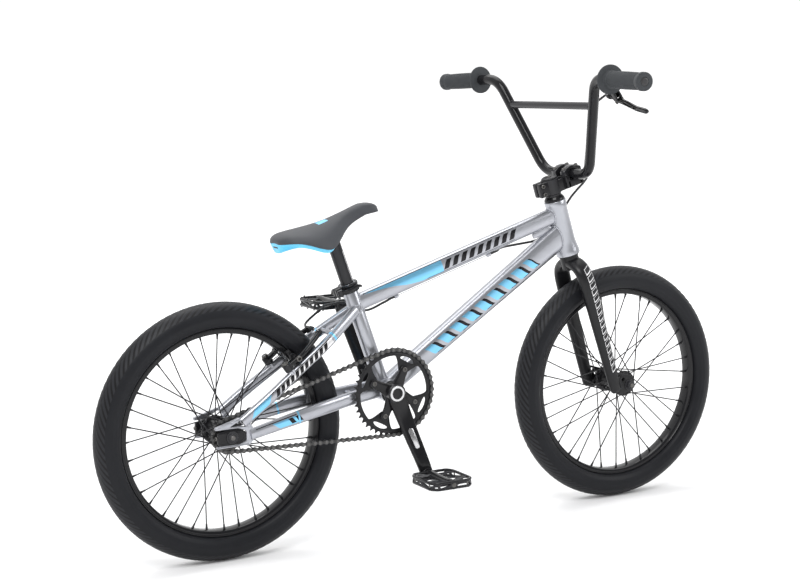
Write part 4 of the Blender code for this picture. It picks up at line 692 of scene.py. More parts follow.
def addHub(bm, centre, flangePlace, ends):
    high, low = flangePlace + hubSet["thick"] / 2, flangePlace - hubSet["thick"] / 2
    edge, shell = hubSet["flange"], hubSet["shell"]
    leftEnd, rightEnd = ends
    half = [(shell - 0.0012, leftEnd), (shell, leftEnd - 0.001), (shell, high + 0.002), (shell + 0.002, high),
            (edge - 0.0008, high), (edge, high - 0.0008), (edge, low + 0.0008), (edge - 0.0008, low),
            (shell + 0.003, low - 0.001), (shell, low - 0.005), (shell - 0.003, low - 0.012)]
    other = [(radius, -place) for radius, place in reversed(half[2:])]
    other += [(shell, rightEnd + 0.001), (shell - 0.0012, rightEnd)]
    profile = half + other + [(hubSet["bore"], rightEnd), (hubSet["bore"], leftEnd)]
    addTurned(bm, profile, centre, across, 0, 64, hollow=True)


def makeWheel(word, centre, flangePlace, ends):
    body = word + "_wheel"
    shape = startShape()
    addTyre(shape, centre)
    makePiece(word + "_tyre_casing", shape, body, [tyreRubber], [word + "_tyre"], sharp=60)
    shape = startShape()
    addRim(shape, centre, 1.97 if word == "front" else 0.47)
    makePiece(word + "_rim_hoop", shape, body, [blackGloss, steelDark], [word + "_rim"])
    for sideWord, side in sides.items():
        shape = startShape()
        addSpokes(shape, centre, side, flangePlace)
        makePiece(word + "_spoke_set_" + sideWord, shape, body, [blackSatin],
                  [word + "_spokes_" + sideWord])
    shape = startShape()
    addHub(shape, centre, flangePlace, ends)
    makePiece(word + "_hub_shell", shape, body, [blackGloss], [word + "_hub"])


makeWheel("front", frontAxle, 0.034, (0.043, -0.043))
makeWheel("rear", rearAxle, 0.03, (0.046, -0.0377))
print("wheels made")

# Axles, bolts and chain tensioners
axleSet = {"radius": 0.005, "collar": 0.0085, "rearEnd": 0.07, "frontEnd": 0.068, "nut": 0.0095}


def makeAxle(name, node, centre, body, end, collars):
    shape = startShape()
    radius = axleSet["radius"]
    thread = [(radius - 0.0002 * (i % 2), -end + 0.001 + 0.0005 * i) for i in range(24)]
    other = [(r, -h) for r, h in reversed(thread)]
    middle = []
    collar = axleSet["collar"]
    for low, high in collars:
        middle += [(radius, low), (collar, low + 0.0002), (collar, high - 0.0002), (radius, high)]
    profile = [(radius - 0.001, -end), *thread, *middle, *other, (radius - 0.001, end)]
    addTurned(shape, profile, centre, across, 0, 24)
    makePiece(name, shape, body, [steelDark], [node])


def makeNut(name, node, centre, side, body, start, end):
    shape = startShape()
    out = across * side
    face = centre + out * start
    addTurned(shape, [(0.0065, 0.0), (0.0122, 0.0), (0.0126, 0.0006), (0.012, 0.0018), (0.0065, 0.0018)],
              face, out, 0, 36, hollow=True)  # washer
    length, bore, nut = end - start, axleSet["radius"] + gap, axleSet["nut"]
    addTurned(shape, [(bore, 0.002), (nut - 0.0006, 0.0019), (nut, 0.003), (nut, length - 0.002),
                      (nut - 0.0015, length), (bore, length)], face, out, 0, 6, hollow=True)
    makePiece(name, shape, body, [blackSatin], [node], sharp=25)


makeAxle("front_axle_rod", "front_axle", frontAxle, "steering", axleSet["frontEnd"],
         [(-0.05, -0.0433), (0.0433, 0.05)])
makeAxle("rear_axle_rod", "rear_axle", rearAxle, "main_frame", axleSet["rearEnd"],
         [(-0.055, -0.0523), (0.0463, 0.055)])
for word, side in sides.items():
    makeNut("front_axle_bolt_" + word, "front_axle_nut_" + word, frontAxle, side, "steering", 0.0566, 0.066)
    makeNut("rear_axle_bolt_" + word, "rear_axle_nut_" + word, rearAxle, side, "main_frame", 0.0639, 0.069)


def makeTensioner(word, side):
    shape = startShape()
    centre = rearAxle + across * side * 0.0596
    matrix = placed(centre, ahead, upward, across * -1)
    outline = roundedOutline([(-0.03, 0.0115), (-0.01, 0.0155), (0.014, 0.0155), (0.029, 0.009),
                              (0.029, -0.008), (0.014, -0.0145), (-0.03, -0.0145)], 0.005)
    addPlate(shape, [outline, circle((0.0, 0.0), axleSet["radius"] + gap)], 0.008, matrix, 0, 0.001)
    rimLine = roundedOutline([(-0.026, 0.009), (0.011, 0.0125), (0.0245, 0.007), (0.0245, -0.006),
                              (0.011, -0.0117), (-0.026, -0.0117)], 0.004)
    addTube(shape, [matrix @ Vector((x, y, side * -0.004)) for x, y in rimLine], 0.0007, 0, 8, closed=True)
    screw = rearAxle + across * side * dropoutPlace
    addRod(shape, screw + ahead * -0.012, screw + ahead * -0.029, 0.002, 1, 14)
    addBolt(shape, screw - ahead * 0.029, ahead * -1, 0.004, 0.004, 1)
    makePiece("chain_tensioner_block_" + word, shape, "main_frame", [blackGloss, steelDark],
              ["chain_tensioner_" + word])


# Frame
dropoutPlace = 0.0578
downFront = onSteering(0.05)
frameSet = {"seatRadius": 0.0159, "shellRadius": 0.0235, "shellHalf": 0.034, "headRadius": 0.0225,
            "topSize": (0.027, 0.035), "downWidth": 0.034, "downDepth": (0.042, 0.056),
            "stay": (0.016, 0.022),
            "stud": 0.005, "studFromAxle": 0.176, "bead": 0.0021}
stayFoot = fromRearAxle(0.024, 0.0, 0.026)
stayHead = onSeatTube(0.186)
stayAlong = (stayHead - stayFoot).normalized()
stayOut = stayAlong.cross(across)
stayLift = (stayFoot - rearAxle).dot(stayOut)
staySpan = [(0.035, dropoutPlace), (0.11, dropoutPlace), (0.2, 0.048), (0.27, 0.041), (0.372, 0.01)]


def onStay(distance, side, out=0.0):
    return rearAxle + stayAlong * distance + stayOut * out + across * side


def staySide(distance):
    for (low, lowSide), (high, highSide) in zip(staySpan, staySpan[1:]):
        if distance <= high:
            return lowSide + (highSide - lowSide) * (distance - low) / (high - low)
    return staySpan[-1][1]


for word, side in sides.items():
    makeTensioner(word, side)


def addMainTubes(bm):
    length, r = layout["headLength"], frameSet["headRadius"]
    addTurned(bm, [(0.0206, 0.0), (0.0255, 0.0), (0.026, 0.0006), (0.026, 0.007), (0.0254, 0.01),
                   (0.0232, 0.024), (r, 0.032), (r, 0.104), (r + 0.001, 0.11), (r + 0.0012, length - 0.001),
                   (r + 0.0006, length), (0.0206, length)], headLow, steerUp, 0, 64, hollow=True)
    seatTop, r = layout["seatTube"], frameSet["seatRadius"]
    addTurned(bm, [(r, 0.015), (r, 0.06), (r, seatTop - 0.001), (r - 0.0006, seatTop), (0.0139, seatTop),
                   (0.0139, 0.015)], bottomBracket, seatUp, 3, 48, hollow=True)
    half = across * frameSet["shellHalf"]
    addSleeve(bm, bottomBracket - half, bottomBracket + half, frameSet["shellRadius"], 0.0207, 0, 56)
    shares = [i / 24 for i in range(25)]
    wide, deep = frameSet["topSize"]
    addOval(bm, [(topRear.lerp(topFront, t), wide, deep) for t in shares], 1, 48, 0.72)
    wide = frameSet["downWidth"]
    low, high = frameSet["downDepth"]
    sections = [(bottomBracket.lerp(downFront, t), wide, low + (high - low) * t) for t in shares]
    addOval(bm, sections, 2, 48, 0.72)


def tubeRing(centre, along, width, depth, grow=0.0007, count=96):
    tall = along.cross(across).normalized()
    flat = tall.cross(along).normalized()
    return ovalRing(centre, flat, tall, width / 2 + grow, depth / 2 + grow, count, 0.78)


def addWelds(bm):
    bead, head, shell = frameSet["bead"], frameSet["headRadius"], frameSet["shellRadius"]
    seatRadius = frameSet["seatRadius"]
    ring = tubeRing(topRear, topAlong, *frameSet["topSize"])
    addBead(bm, meetCylinder(ring, topAlong, headLow, steerUp, head), bead, 5)
    ring = tubeRing(topFront, topAlong, *frameSet["topSize"])
    addBead(bm, meetCylinder(ring, topAlong * -1, bottomBracket, seatUp, seatRadius), bead, 5)
    downAlong = (downFront - bottomBracket).normalized()
    middle = bottomBracket.lerp(downFront, 0.5)
    rearDeep, frontDeep = frameSet["downDepth"]
    ring = tubeRing(middle, downAlong, frameSet["downWidth"], frontDeep)
    addBead(bm, meetCylinder(ring, downAlong, headLow, steerUp, head + 0.0008), bead, 5, 32)
    ring = tubeRing(middle, downAlong, frameSet["downWidth"], rearDeep + 0.002)
    addBead(bm, meetCylinder(ring, downAlong * -1, bottomBracket, across, shell), bead, 5, 30)
    ring = [onSeatTube(0.1) + (ahead * cos(a) + across * sin(a)) * (seatRadius + 0.0005) for a in turns(96)]
    addBead(bm, meetCylinder(ring, seatUp * -1, bottomBracket, across, shell), bead, 5)


def addStays(bm, side):
    width, depth = frameSet["stay"]
    stations = [station for station, place in staySpan]
    sections = [(onStay(d, side * staySide(d), stayLift), width, depth) for d in stations]
    addOval(bm, eased(sections), 4 if side == right else 7, 36, 0.8)
    path = [(0.04, dropoutPlace, 0.0, 0.022), (0.18, 0.05, 0.028, 0.028), (0.235, 0.04, 0.036, 0.028),
            (0.275, 0.031, 0.041, 0.028)]
    sections = [(fromRearAxle(x, side * y, z), width, deep) for x, y, z, deep in path]
    sections.append((bottomBracket + Vector((-0.01, side * 0.022, 0.004)), width, 0.028))
    addOval(bm, eased(sections), 6 if side == right else 8, 36, 0.8)
    join = (sections[-1][0] - sections[-2][0]).normalized()
    ring = tubeRing(sections[-2][0], join, width, 0.0285)
    addBead(bm, meetCylinder(ring, join, bottomBracket, across, frameSet["shellRadius"]), 0.0017, 5, 20)
    join = (onStay(0.372, side * 0.01, stayLift) - onStay(0.27, side * 0.041, stayLift)).normalized()
    ring = tubeRing(onStay(0.3, side * staySide(0.3), stayLift), join, width, depth)
    addBead(bm, meetCylinder(ring, join, bottomBracket, seatUp, frameSet["seatRadius"]), 0.0017, 5, 20)
    stud, root = frameSet["stud"], frameSet["studFromAxle"]
    addTurned(bm, [(0.0085, 0.004), (0.008, 0.012), (0.006, 0.0135), (stud, 0.014), (stud, 0.033)],
              onStay(root, side * staySide(root), stayLift), stayOut, 0, 28)


def addDropout(bm, side):
    matrix = placed(rearAxle + across * side * dropoutPlace, ahead, upward, across * -1)
    outer = roundedOutline([(-0.031, -0.0152), (-0.031, -0.0205), (0.036, -0.019), (0.046, -0.012),
                            (0.046, 0.014), (0.034, 0.037), (0.016, 0.037), (-0.034, 0.0222),
                            (-0.034, 0.0164), (0.016, 0.0164), (0.0312, 0.0098), (0.0312, -0.0088),
                            (0.016, -0.0152)], 0.0024)  # open to the rear
    window = roundedOutline([(-0.003, 0.0202), (0.022, 0.0202), (0.029, 0.018), (0.032, 0.02),
                             (0.025, 0.031), (0.017, 0.031)], 0.0025)
    addPlate(bm, [outer, window], 0.006, matrix, 0, 0.0008)
    lip = [(-0.033, 0.0205), (0.0, 0.029), (0.016, 0.0352), (0.033, 0.0352), (0.0443, 0.014),
           (0.0443, -0.011), (0.036, -0.0175), (-0.03, -0.019)]
    line = [matrix @ Vector((x, y, -side * 0.003)) for x, y in lip]
    addTube(bm, roundedRoute(line, 0.004, 5), 0.0015, 0, 10)


def addFittings(bm):
    bridges = ((onStay(0.3, 0.0, stayLift), staySide(0.3), 0.006),
               (fromRearAxle(0.292, 0.0, 0.042), 0.028, 0.007))
    for middle, half, radius in bridges:
        addRod(bm, middle - across * half, middle + across * half, radius, 0, 24)
    reach = topAlong * cableSet["stopHalf"]
    for stop in (rearStop, frontStop):
        addRod(bm, stop - reach, stop + reach, 0.0045, 0, 24, 0.0012)
        turn = placed(stop - topUnder * 0.004, topAlong, across, topUnder)
        addBlock(bm, (0.008, 0.004, 0.008), turn, 0, 0.001)
    gusset = ((0.05, -0.018, 0.01, 0.03), (0.072, -0.042, 0.008, 0.026), (0.068, -0.075, 0.006, 0.012))
    addOval(bm, [(onSteering(height, reach), width, depth) for height, reach, width, depth in gusset],
            0, 28, 0.7)  # between the top and down tubes at the head


def makeFrame():
    shape = startShape()
    addMainTubes(shape)
    addWelds(shape)
    for side in sides.values():
        addStays(shape, side)
        addDropout(shape, side)
    addFittings(shape)
    paints = [silver, topPaint, downPaint, seatPaint, stayPaint[right], weldMetal, chainStayPaint[right],
              stayPaint[left], chainStayPaint[left]]
    makePiece("frame_weldment", shape, "main_frame", paints, ["frame"])


makeFrame()
print("frame made")

# Fork, headset and stem
forkSet = {"width": 0.022, "depthTop": 0.038, "depthFoot": 0.027, "crown": 0.0205, "steerer": 0.0143,
           "dropoutPlace": 0.0533, "dropoutThick": 0.006}


def makeFork():
    shape = startShape()
    top = layout["stemBase"] + layout["stemHeight"] - 0.002
    crown, steerer = forkSet["crown"], forkSet["steerer"]
    addTurned(shape, [(0.01, -0.034), (crown - 0.004, -0.034), (crown, -0.03), (crown, -0.004),
                      (crown + 0.0022, -0.003), (crown + 0.0022, -0.0008), (crown + 0.0012, -gap),
                      (steerer, -gap), (steerer, top), (0.01, top)], headLow, steerUp, 0, 48)
    foot, offset, end = -layout["forkLength"], layout["forkOffset"], forkSet["dropoutPlace"]
    width, deep, low = forkSet["width"], forkSet["depthTop"], forkSet["depthFoot"]
    leg = ((-0.018, 0.004, width, deep), (-0.023, 0.024, width, deep), (-0.042, 0.043, width, deep),
           (-0.084, 0.049, width, deep), (-0.19, 0.0508, width - 0.002, (deep + low) / 2),
           (foot + 0.016, end, width - 0.004, low), (foot + 0.002, end, width - 0.008, low - 0.003),
           (foot - 0.004, end, 0.008, low - 0.01))
    outline = [(-0.004, 0.046), (0.01, 0.042), (offset + 0.01, 0.018),
               *arc((offset, 0.0), 0.0145, 0.6, -1.7, 10), (0.004, -0.012), (-0.004, -0.004)]
    holes = [circle((offset, 0.0), 0.0053), circle((0.024, 0.017), 0.0044, 18),
             circle((0.017, 0.0285), 0.0036, 18)]
    for side in sides.values():
        sections = [(onSteering(height, 0.0, side * place), w, d) for height, place, w, d in leg]
        addOval(shape, eased(sections), 1 if side == right else 2, 36, 0.86)
        matrix = placed(onSteering(foot, 0.0, side * end), steerAhead, steerUp, across * -1)
        addPlate(shape, [outline, *holes], forkSet["dropoutThick"], matrix, 0, 0.0008)
    makePiece("fork_weldment", shape, "steering",
              [blackSatin, forkPaint[right], forkPaint[left]], ["fork"])


def makeStem():
    base, height, split = layout["stemBase"], layout["stemHeight"], layout["barHeight"]
    forward, radius = layout["stemReach"], barSet["radius"]
    low = split - gap - base
    seat = low - 0.004  # depth of the bar seat
    half = radius + 0.011
    shape = startShape()
    addSleeve(shape, onSteering(base), onSteering(base + height), 0.02, 0.0146, 0, 48, 0.0012)
    blocks = []  # size, height, reach, side and edge
    for side in (left, right):
        blocks.append(((0.024, 0.012, height - 0.003), base + height / 2, -0.025, side * 0.008, 0.0025))
    for side in (left, right):  # twin struts from the steerer to the bar seat
        blocks.append(((0.04, 0.01, low - 0.004), base + low / 2, 0.024, side * 0.0125, 0.002))
    blocks.append(((0.03, 0.026, low * 0.55), base + low * 0.32, 0.024, 0.0, 0.002))
    for reach in (-half + 0.0055, half - 0.0055):
        blocks.append(((0.011, 0.052, seat), split - gap - seat / 2, forward + reach, 0.0, 0.002))
    blocks.append(((half * 1.7, 0.052, seat - radius), split - gap - seat / 2 - radius / 2, forward, 0.0,
                   0.0018))
    for size, up, reach, side, edge in blocks:
        addBlock(shape, size, placed(onSteering(up, reach, side), steerAhead, across, steerUp), 0, edge)
    for rise in (0.008, 0.026):
        bolt = onSteering(base + rise, -0.029)
        addBolt(shape, bolt - across * 0.0142, across * -1, 0.0042, 0.004, 1)
        addRod(shape, bolt - across * 0.01, bolt + across * 0.0145, 0.0024, 1, 16)
    makePiece("stem_body", shape, "steering", [blackGloss, steelDark], ["stem"])
    shape = startShape()
    top = radius + 0.007
    outline = [(-half, 0.0), *arc((0.0, 0.0), radius + gap, pi, 0.0, 14), (half, 0.0), (half, top - 0.008),
               (half - 0.008, top - 0.003), (0.006, top), (-0.006, top), (0.008 - half, top - 0.003),
               (-half, top - 0.008)]
    for side in sides.values():  # two straps over the bar, two bolts each
        middle = onSteering(split + gap, forward, side * 0.017)
        addPlate(shape, [outline], 0.017, placed(middle, steerAhead, steerUp, across * -1), 0, 0.001)
        for reach in (0.0065 - half, half - 0.0065):
            bolt = middle + steerAhead * reach + steerUp * (top - 0.0065)
            addBolt(shape, bolt, steerUp, 0.0044, 0.0052, 1)
    makePiece("stem_clamp_straps", shape, "steering", [blackGloss, steelDark],
              ["stem_clamp_cap"])
    shape = startShape()
    addTurned(shape, [(0.0146, 0.0), (0.0222, 0.0), (0.0226, 0.0006), (0.0225, 0.003), (0.0205, 0.0068),
                      (0.0182, 0.0096), (0.0178, 0.0101), (0.0172, 0.0104), (0.0178, 0.0107),
                      (0.0178, 0.0146), (0.0172, 0.015),
                      (0.0146, 0.015)], onSteering(layout["headLength"] + gap), steerUp, 0, 56,
              hollow=True)
    makePiece("headset_cover_ring", shape, "steering", [blackGloss], ["headset_cover"])
    shape = startShape()
    top = base + height + gap
    addTurned(shape, [(0.017, 0.0), (0.0175, 0.0006), (0.0175, 0.002), (0.015, 0.0038), (0.0065, 0.004),
                      (0.0058, 0.0024)], onSteering(top), steerUp, 0, 48)
    addBolt(shape, onSteering(top + 0.0026), steerUp, 0.005, 0.003, 1)
    makePiece("headset_top_lid", shape, "steering", [blackSatin, steelDark],
              ["headset_top_cap"])


makeFork()
makeStem()
print("fork and stem made")


# Handlebar, grips and brake lever
def makeHandlebar():
    shape = startShape()
    rightInner, rightOuter, rightAlong = barEnd(right)
    leftInner, leftOuter, leftAlong = barEnd(left)
    corner = barSet["cornerIn"]
    corners = [rightOuter, rightInner - rightAlong * corner, barPoint(0.0, -barSet["baseHalf"] - corner),
               barPoint(0.0, barSet["baseHalf"] + corner), leftInner - leftAlong * corner, leftOuter]
    addTube(shape, roundedRoute(corners, barSet["bend"], 14), barSet["radius"], 0, 32)
    lean = (corners[4] - corners[3]).normalized()
    reach = corners[3] + lean * (barSet["crossRise"] / lean.dot(steerUp))
    other = Vector((reach.x, -reach.y, reach.z))
    addRod(shape, other, reach, barSet["crossRadius"], 0, 28)
    for end, tilt in ((reach, lean), (other, Vector((lean.x, -lean.y, lean.z)))):
        toEnd = across * copysign(1.0, end.y)
        middle, radius = Vector((end.x, 0.0, end.z)), barSet["crossRadius"] + 0.0004
        ring = [middle + inWheel(angle) * radius for angle in turns(64)]
        addBead(shape, meetCylinder(ring, toEnd, end, tilt, barSet["radius"]), 0.0014, 0, 16)
    makePiece("handlebar_tube", shape, "steering", [blackGloss], ["handlebar"])


def makeGrip(word, side):
    outer, along = barEnd(side)[1:]
    tip = outer + along * (gap + gripSet["cap"])
    length = gripSet["length"] + gripSet["cap"]
    r, f, ribs = gripSet["radius"], gripSet["flange"], gripSet["ribs"]
    profile = [(0.0085, -0.0012), (0.009, 0.0), (r - 0.001, 0.0), (r + 0.0014, -0.0012), (r + 0.0016, -0.009),
               (r, -0.011)]
    ribStart, ribEnd = 0.016, length - 0.014
    step = (ribEnd - ribStart) / ribs
    for k in range(ribs):
        at = ribStart + step * k
        swell = 0.0006 * sin(pi * k / ribs)
        for inset, share in ((0.001, 0.0), (0.001, 0.3), (0.0, 0.42), (0.0, 0.88)):
            profile.append((r - inset + swell, -at - step * share))
    profile += [(r, 0.01 - length), (r + 0.002, 0.006 - length), (f - 0.002, 0.0045 - length),
                (f, 0.0035 - length), (f, 0.0008 - length), (f - 0.001, -length),
                (barSet["radius"] + gap, -length)]
    shape = startShape()
    addTurned(shape, profile, tip, along, 0, 56)
    addTurned(shape, [(0.0082, -0.0016), (0.0082, 0.0002), (0.0074, 0.0008), (0.004, 0.001)], tip, along, 1,
              32)
    makePiece("grip_sleeve_" + word, shape, "steering", [gripRubber, blackPlastic],
              ["grip_" + word], sharp=50)


def makeLever():
    turn = (gripAlong, leverAhead, leverAxis)
    shape = startShape()
    half = gripAlong * leverSet["clampWidth"] / 2
    addSleeve(shape, leverClamp - half, leverClamp + half, leverSet["clampRadius"], barSet["radius"] + gap,
              0, 40, 0.0012)
    ears = (leverSet["thick"] + gap * 4) / 2
    outline = roundedOutline([(-0.006, 0.012), (0.01, 0.012), (0.013, 0.044), (0.007, 0.051), (-0.001, 0.05),
                              (-0.006, 0.04)], 0.003)
    for face in (leverAxis * -1, leverAxis):
        addPlate(shape, [outline], 0.0034, placed(leverClamp + face * (ears + 0.0017), *turn), 0, 0.0007)
        addBolt(shape, leverPivot + face * (ears + 0.003), face, 0.0045, 0.0016, 1)
    body = placed(leverClamp + leverAhead * 0.024 - gripAlong * 0.004, *turn)
    addBlock(shape, (0.012, 0.026, ears * 2 + 0.004), body, 0, 0.002)
    addRod(shape, leverPivot - leverAxis * ears, leverPivot + leverAxis * ears, 0.0024, 1, 20)
    addBolt(shape, leverClamp - leverAhead * 0.004 + leverAxis * 0.0135, leverAxis, 0.0036, 0.004, 1)
    out = adjusterEnd - adjusterStart
    knurl = [(0.006 - 0.0007 * (i % 2), 0.012 + 0.0012 * i) for i in range(9)]
    addTurned(shape, [(0.0052, -0.002), (0.006, 0.0), (0.006, 0.008), (0.004, 0.009), (0.004, 0.011), *knurl,
                      (0.0052, out.length - 0.004), (0.0042, out.length), (0.0028, out.length)],
              adjusterStart, out, 0, 26)
    makePiece("brake_lever_perch", shape, "steering", [blackGloss, steelDark],
              ["brake_lever_bracket"])
    shape = startShape()
    tip = leverSet["length"]
    outline = roundedOutline([(-0.006, -0.004), (0.004, -0.006), (0.03, 0.002), (0.055, 0.012),
                              (tip - 0.006, 0.016), (tip, 0.021), (tip - 0.004, 0.027), (0.052, 0.022),
                              (0.026, 0.013), (0.004, 0.007), (-0.006, 0.005)], 0.006, 5)
    slot = roundedOutline([(0.016, 0.0025), (0.03, 0.0062), (0.044, 0.012), (0.043, 0.016), (0.029, 0.011),
                           (0.015, 0.0062)], 0.002)
    addPlate(shape, [outline, circle((0.0, 0.0), 0.0029, 18), slot], leverSet["thick"],
             placed(leverPivot, *turn), 0, 0.0018)
    makePiece("brake_lever_blade", shape, "lever_blade", [blackGloss], ["brake_lever"])


makeHandlebar()
for word, side in sides.items():
    makeGrip(word, side)
makeLever()
print("handlebar made")

# Drive: sprockets, chain, cranks and pedals
driveSet = {"pitch": 0.0127, "ringTeeth": 44, "cogTeeth": 16, "line": 0.045, "ringThick": 0.0026, "arms": 4,
            "bolts": 0.052, "crank": 0.18, "eyePlace": 0.072, "eyeWidth": 0.013, "boss": 0.02}
ringRadius = driveSet["pitch"] / (2 * sin(pi / driveSet["ringTeeth"]))
cogRadius = driveSet["pitch"] / (2 * sin(pi / driveSet["cogTeeth"]))
rightEye = jointPlace("right_pedal_spin")
crankAhead = (rightEye - bottomBracket).normalized()
crankAngle = atan2(crankAhead.z, crankAhead.x)
crankSquare = Vector((-crankAhead.z, 0.0, crankAhead.x))


def onCircle(radius, angle):
    return radius * cos(angle), radius * sin(angle)


def toothed(teeth, radius, phase):
    tooth = ((-0.16, -0.0034), (0.16, -0.0034), (0.3, -0.0012), (0.44, 0.003), (0.56, 0.003), (0.7, -0.0012))
    step = 2 * pi / teeth
    return [onCircle(radius + lift, phase + (i + share) * step) for i in range(teeth)
            for share, lift in tooth]


def chainPath():
    # points a link apart round both sprockets, seen from the side, with the angles where a pin sits on each
    span = Vector((bottomBracket.x - rearAxle.x, bottomBracket.z - rearAxle.z))
    slope, opening = atan2(span.y, span.x), asin((ringRadius - cogRadius) / span.length)
    top, bottom = slope + opening + pi / 2, slope - opening - pi / 2
    straight = span.length * cos(opening)
    frontArc, backArc = ringRadius * (top - bottom), cogRadius * (2 * pi - (top - bottom))
    total = frontArc + backArc + 2 * straight
    count = 2 * round(total / driveSet["pitch"] / 2)

    def onRing(angle):
        return span + Vector(onCircle(ringRadius, angle))

    def onCog(angle):
        return Vector(onCircle(cogRadius, angle))

    points, backAngle = [], None
    for i in range(count):
        s = total * i / count
        if s < frontArc:
            points.append(onRing(top - s / ringRadius))
        elif s < frontArc + straight:
            points.append(onRing(bottom).lerp(onCog(bottom), (s - frontArc) / straight))
        elif s < frontArc + straight + backArc:
            angle = bottom - (s - frontArc - straight) / cogRadius
            backAngle = angle if backAngle is None else backAngle
            points.append(onCog(angle))
        else:
            points.append(onCog(top).lerp(onRing(top), (s - frontArc - straight - backArc) / straight))
    return points, top, backAngle


chainPoints, ringPin, cogPin = chainPath()


def makeChain():
    shape = startShape()
    line = -driveSet["line"]
    for i, start in enumerate(chainPoints):
        end = chainPoints[(i + 1) % len(chainPoints)]
        run = (end - start).normalized()
        square = Vector((-run.y, run.x))
        outline = []
        for middle, turn in ((start, pi / 2), (end, -pi / 2)):
            for k in range(7):
                angle = turn + pi * k / 6
                outline.append(middle + (run * cos(angle) + square * sin(angle)) * 0.0045)
            outline.append(start.lerp(end, 0.5) + square * (-0.0021 if turn > 0 else 0.0021))
        inner = 0.0019 if i % 2 else 0.0031
        for face in (-1, 1):  # a link plate on each side
            places = (line + face * inner, line + face * (inner + 0.001))
            addRings(shape, [[fromRearAxle(p.x, place, p.y) for p in outline] for place in places], 0)
        pin = fromRearAxle(start.x, line, start.y)
        addRod(shape, pin - across * 0.0019, pin + across * 0.0019, 0.0038, 0, 12, 0.0003)
        addRod(shape, pin - across * 0.0049, pin + across * 0.0049, 0.0018, 1, 10, 0.0004)
    makePiece("chain_links", shape, "main_frame", [chainSteel, steelDark], ["chain"], sharp=30)


def makeSprockets():
    shape = startShape()
    turn = placed(bottomBracket - across * driveSet["line"], ahead, upward, across * -1)
    opening, slots = [], []
    step = 2 * pi / driveSet["arms"]
    for i in range(driveSet["arms"]):
        middle = crankAngle + step * i
        for k in range(40):  # wide between the arms, narrow at the bolts, eased between
            turned = step * (k / 40 - 0.5)
            share = min(max((0.62 - abs(turned)) / 0.25, 0.0), 1.0)
            opening.append(onCircle(0.0455 + 0.031 * share * share * (3 - 2 * share), middle + turned))
        arm = middle + step / 2  # lens shaped slot outside each bolt
        slots.append([onCircle(0.0735 + 0.0045 * sin(a), arm + 0.235 * cos(a)) for a in turns(28)])
    teeth = toothed(driveSet["ringTeeth"], ringRadius, ringPin)
    addPlate(shape, [teeth, opening, *slots], driveSet["ringThick"], turn, 0, 0.0004)
    rim = [turn @ Vector((x, y, 0.0008)) for x, y in circle((0.0, 0.0), 0.0812, 96)]
    addTube(shape, rim, 0.0012, 0, 8, closed=True)
    makePiece("chainring_plate", shape, "cranks", [blackSatin], ["chainring"], sharp=30)
    shape = startShape()
    turn = placed(rearAxle - across * driveSet["line"], ahead, upward, across * -1)
    teeth = toothed(driveSet["cogTeeth"], cogRadius, cogPin)
    addPlate(shape, [teeth, circle((0.0, 0.0), 0.02, 40)], driveSet["ringThick"], turn, 0, 0.0003)
    bore = axleSet["radius"] + gap
    addTurned(shape, [(bore, 0.038), (0.0225, 0.038), (0.0245, 0.0395), (0.0245, 0.05), (0.0232, 0.0518),
                      (0.019, 0.0518), (0.0185, 0.0508), (0.0125, 0.0508), (0.012, 0.0518), (bore, 0.0518)],
              rearAxle, across * -1, 1, 48, hollow=True)
    makePiece("freewheel_cog", shape, "rear_freewheel", [steelDark, blackSatin], ["freewheel"],
              sharp=30)


def crankPoint(distance, place):
    return bottomBracket + crankAhead * distance + across * place


def makeCrank(word, side, way):
    shape = startShape()
    inner, outer, boss = 0.0446, 0.0626, driveSet["boss"]
    out = across * side
    middle = (inner + outer) / 2 + 0.001
    eyeIn, eyeWidth = driveSet["eyePlace"], driveSet["eyeWidth"]
    eye = eyeIn + eyeWidth / 2
    spans = ((-0.01, middle, 0.011, 0.03), (0.01, middle, 0.013, 0.039),
             (0.06, middle + 0.004, 0.013, 0.0345), (0.15, eye - 0.002, 0.012, 0.029),
             (0.18, eye, 0.012, 0.0275), (0.19, eye, 0.011, 0.025))
    sections = eased([(crankPoint(d * way, side * place), w, depth) for d, place, w, depth in spans])
    addRings(shape, [ovalRing(c, across, crankSquare, w / 2, d / 2, 40, 0.55) for c, w, d in sections], 0)
    bore = 0.009 if side == right else 0.0123
    addTurned(shape, [(bore, inner), (boss - 0.001, inner), (boss, inner + 0.001), (boss, outer - 0.0015),
                      (boss - 0.0015, outer), (bore + 0.0052, outer), (bore + 0.005, outer - 0.0008),
                      (bore, outer - 0.0008)], bottomBracket, out, 0, 56, hollow=True)
    eyeCentre = crankPoint(driveSet["crank"] * way, 0.0)
    addSleeve(shape, eyeCentre + out * eyeIn, eyeCentre + out * (eyeIn + eyeWidth), 0.0133, 0.0073, 0, 44,
              0.0012)
    tilt = (crankAhead * way * 0.09 + out * (eye - middle - 0.006)).normalized()
    panel = roundedOutline([(-0.022, -0.006), (0.022, -0.005), (0.022, 0.005), (-0.022, 0.006)], 0.005)
    addPlate(shape, [panel], 0.0008, placed(crankPoint(0.1 * way, side * 0.0732), tilt, out.cross(tilt), out),
             1, 0.0002)  # plain panel on the outer face
    if side == right:
        addSpiderAndSpindle(shape, outer)
    else:
        bolt = crankPoint(0.0, side * middle - 0.004) - crankSquare * 0.0215
        addBolt(shape, bolt, crankSquare * -1, 0.0038, 0.003, 2)
        addTurned(shape, [(0.006, outer - 0.001), (0.0118, outer - 0.001), (0.012, outer + 0.0004),
                          (0.0105, outer + 0.0012), (0.006, outer + 0.0012)],
                  bottomBracket, out, 2, 36, hollow=True)
    makePiece("crank_forging_" + word, shape, "cranks", [blackGloss, steelBright, steelDark],
              ["crank_arm_" + word])


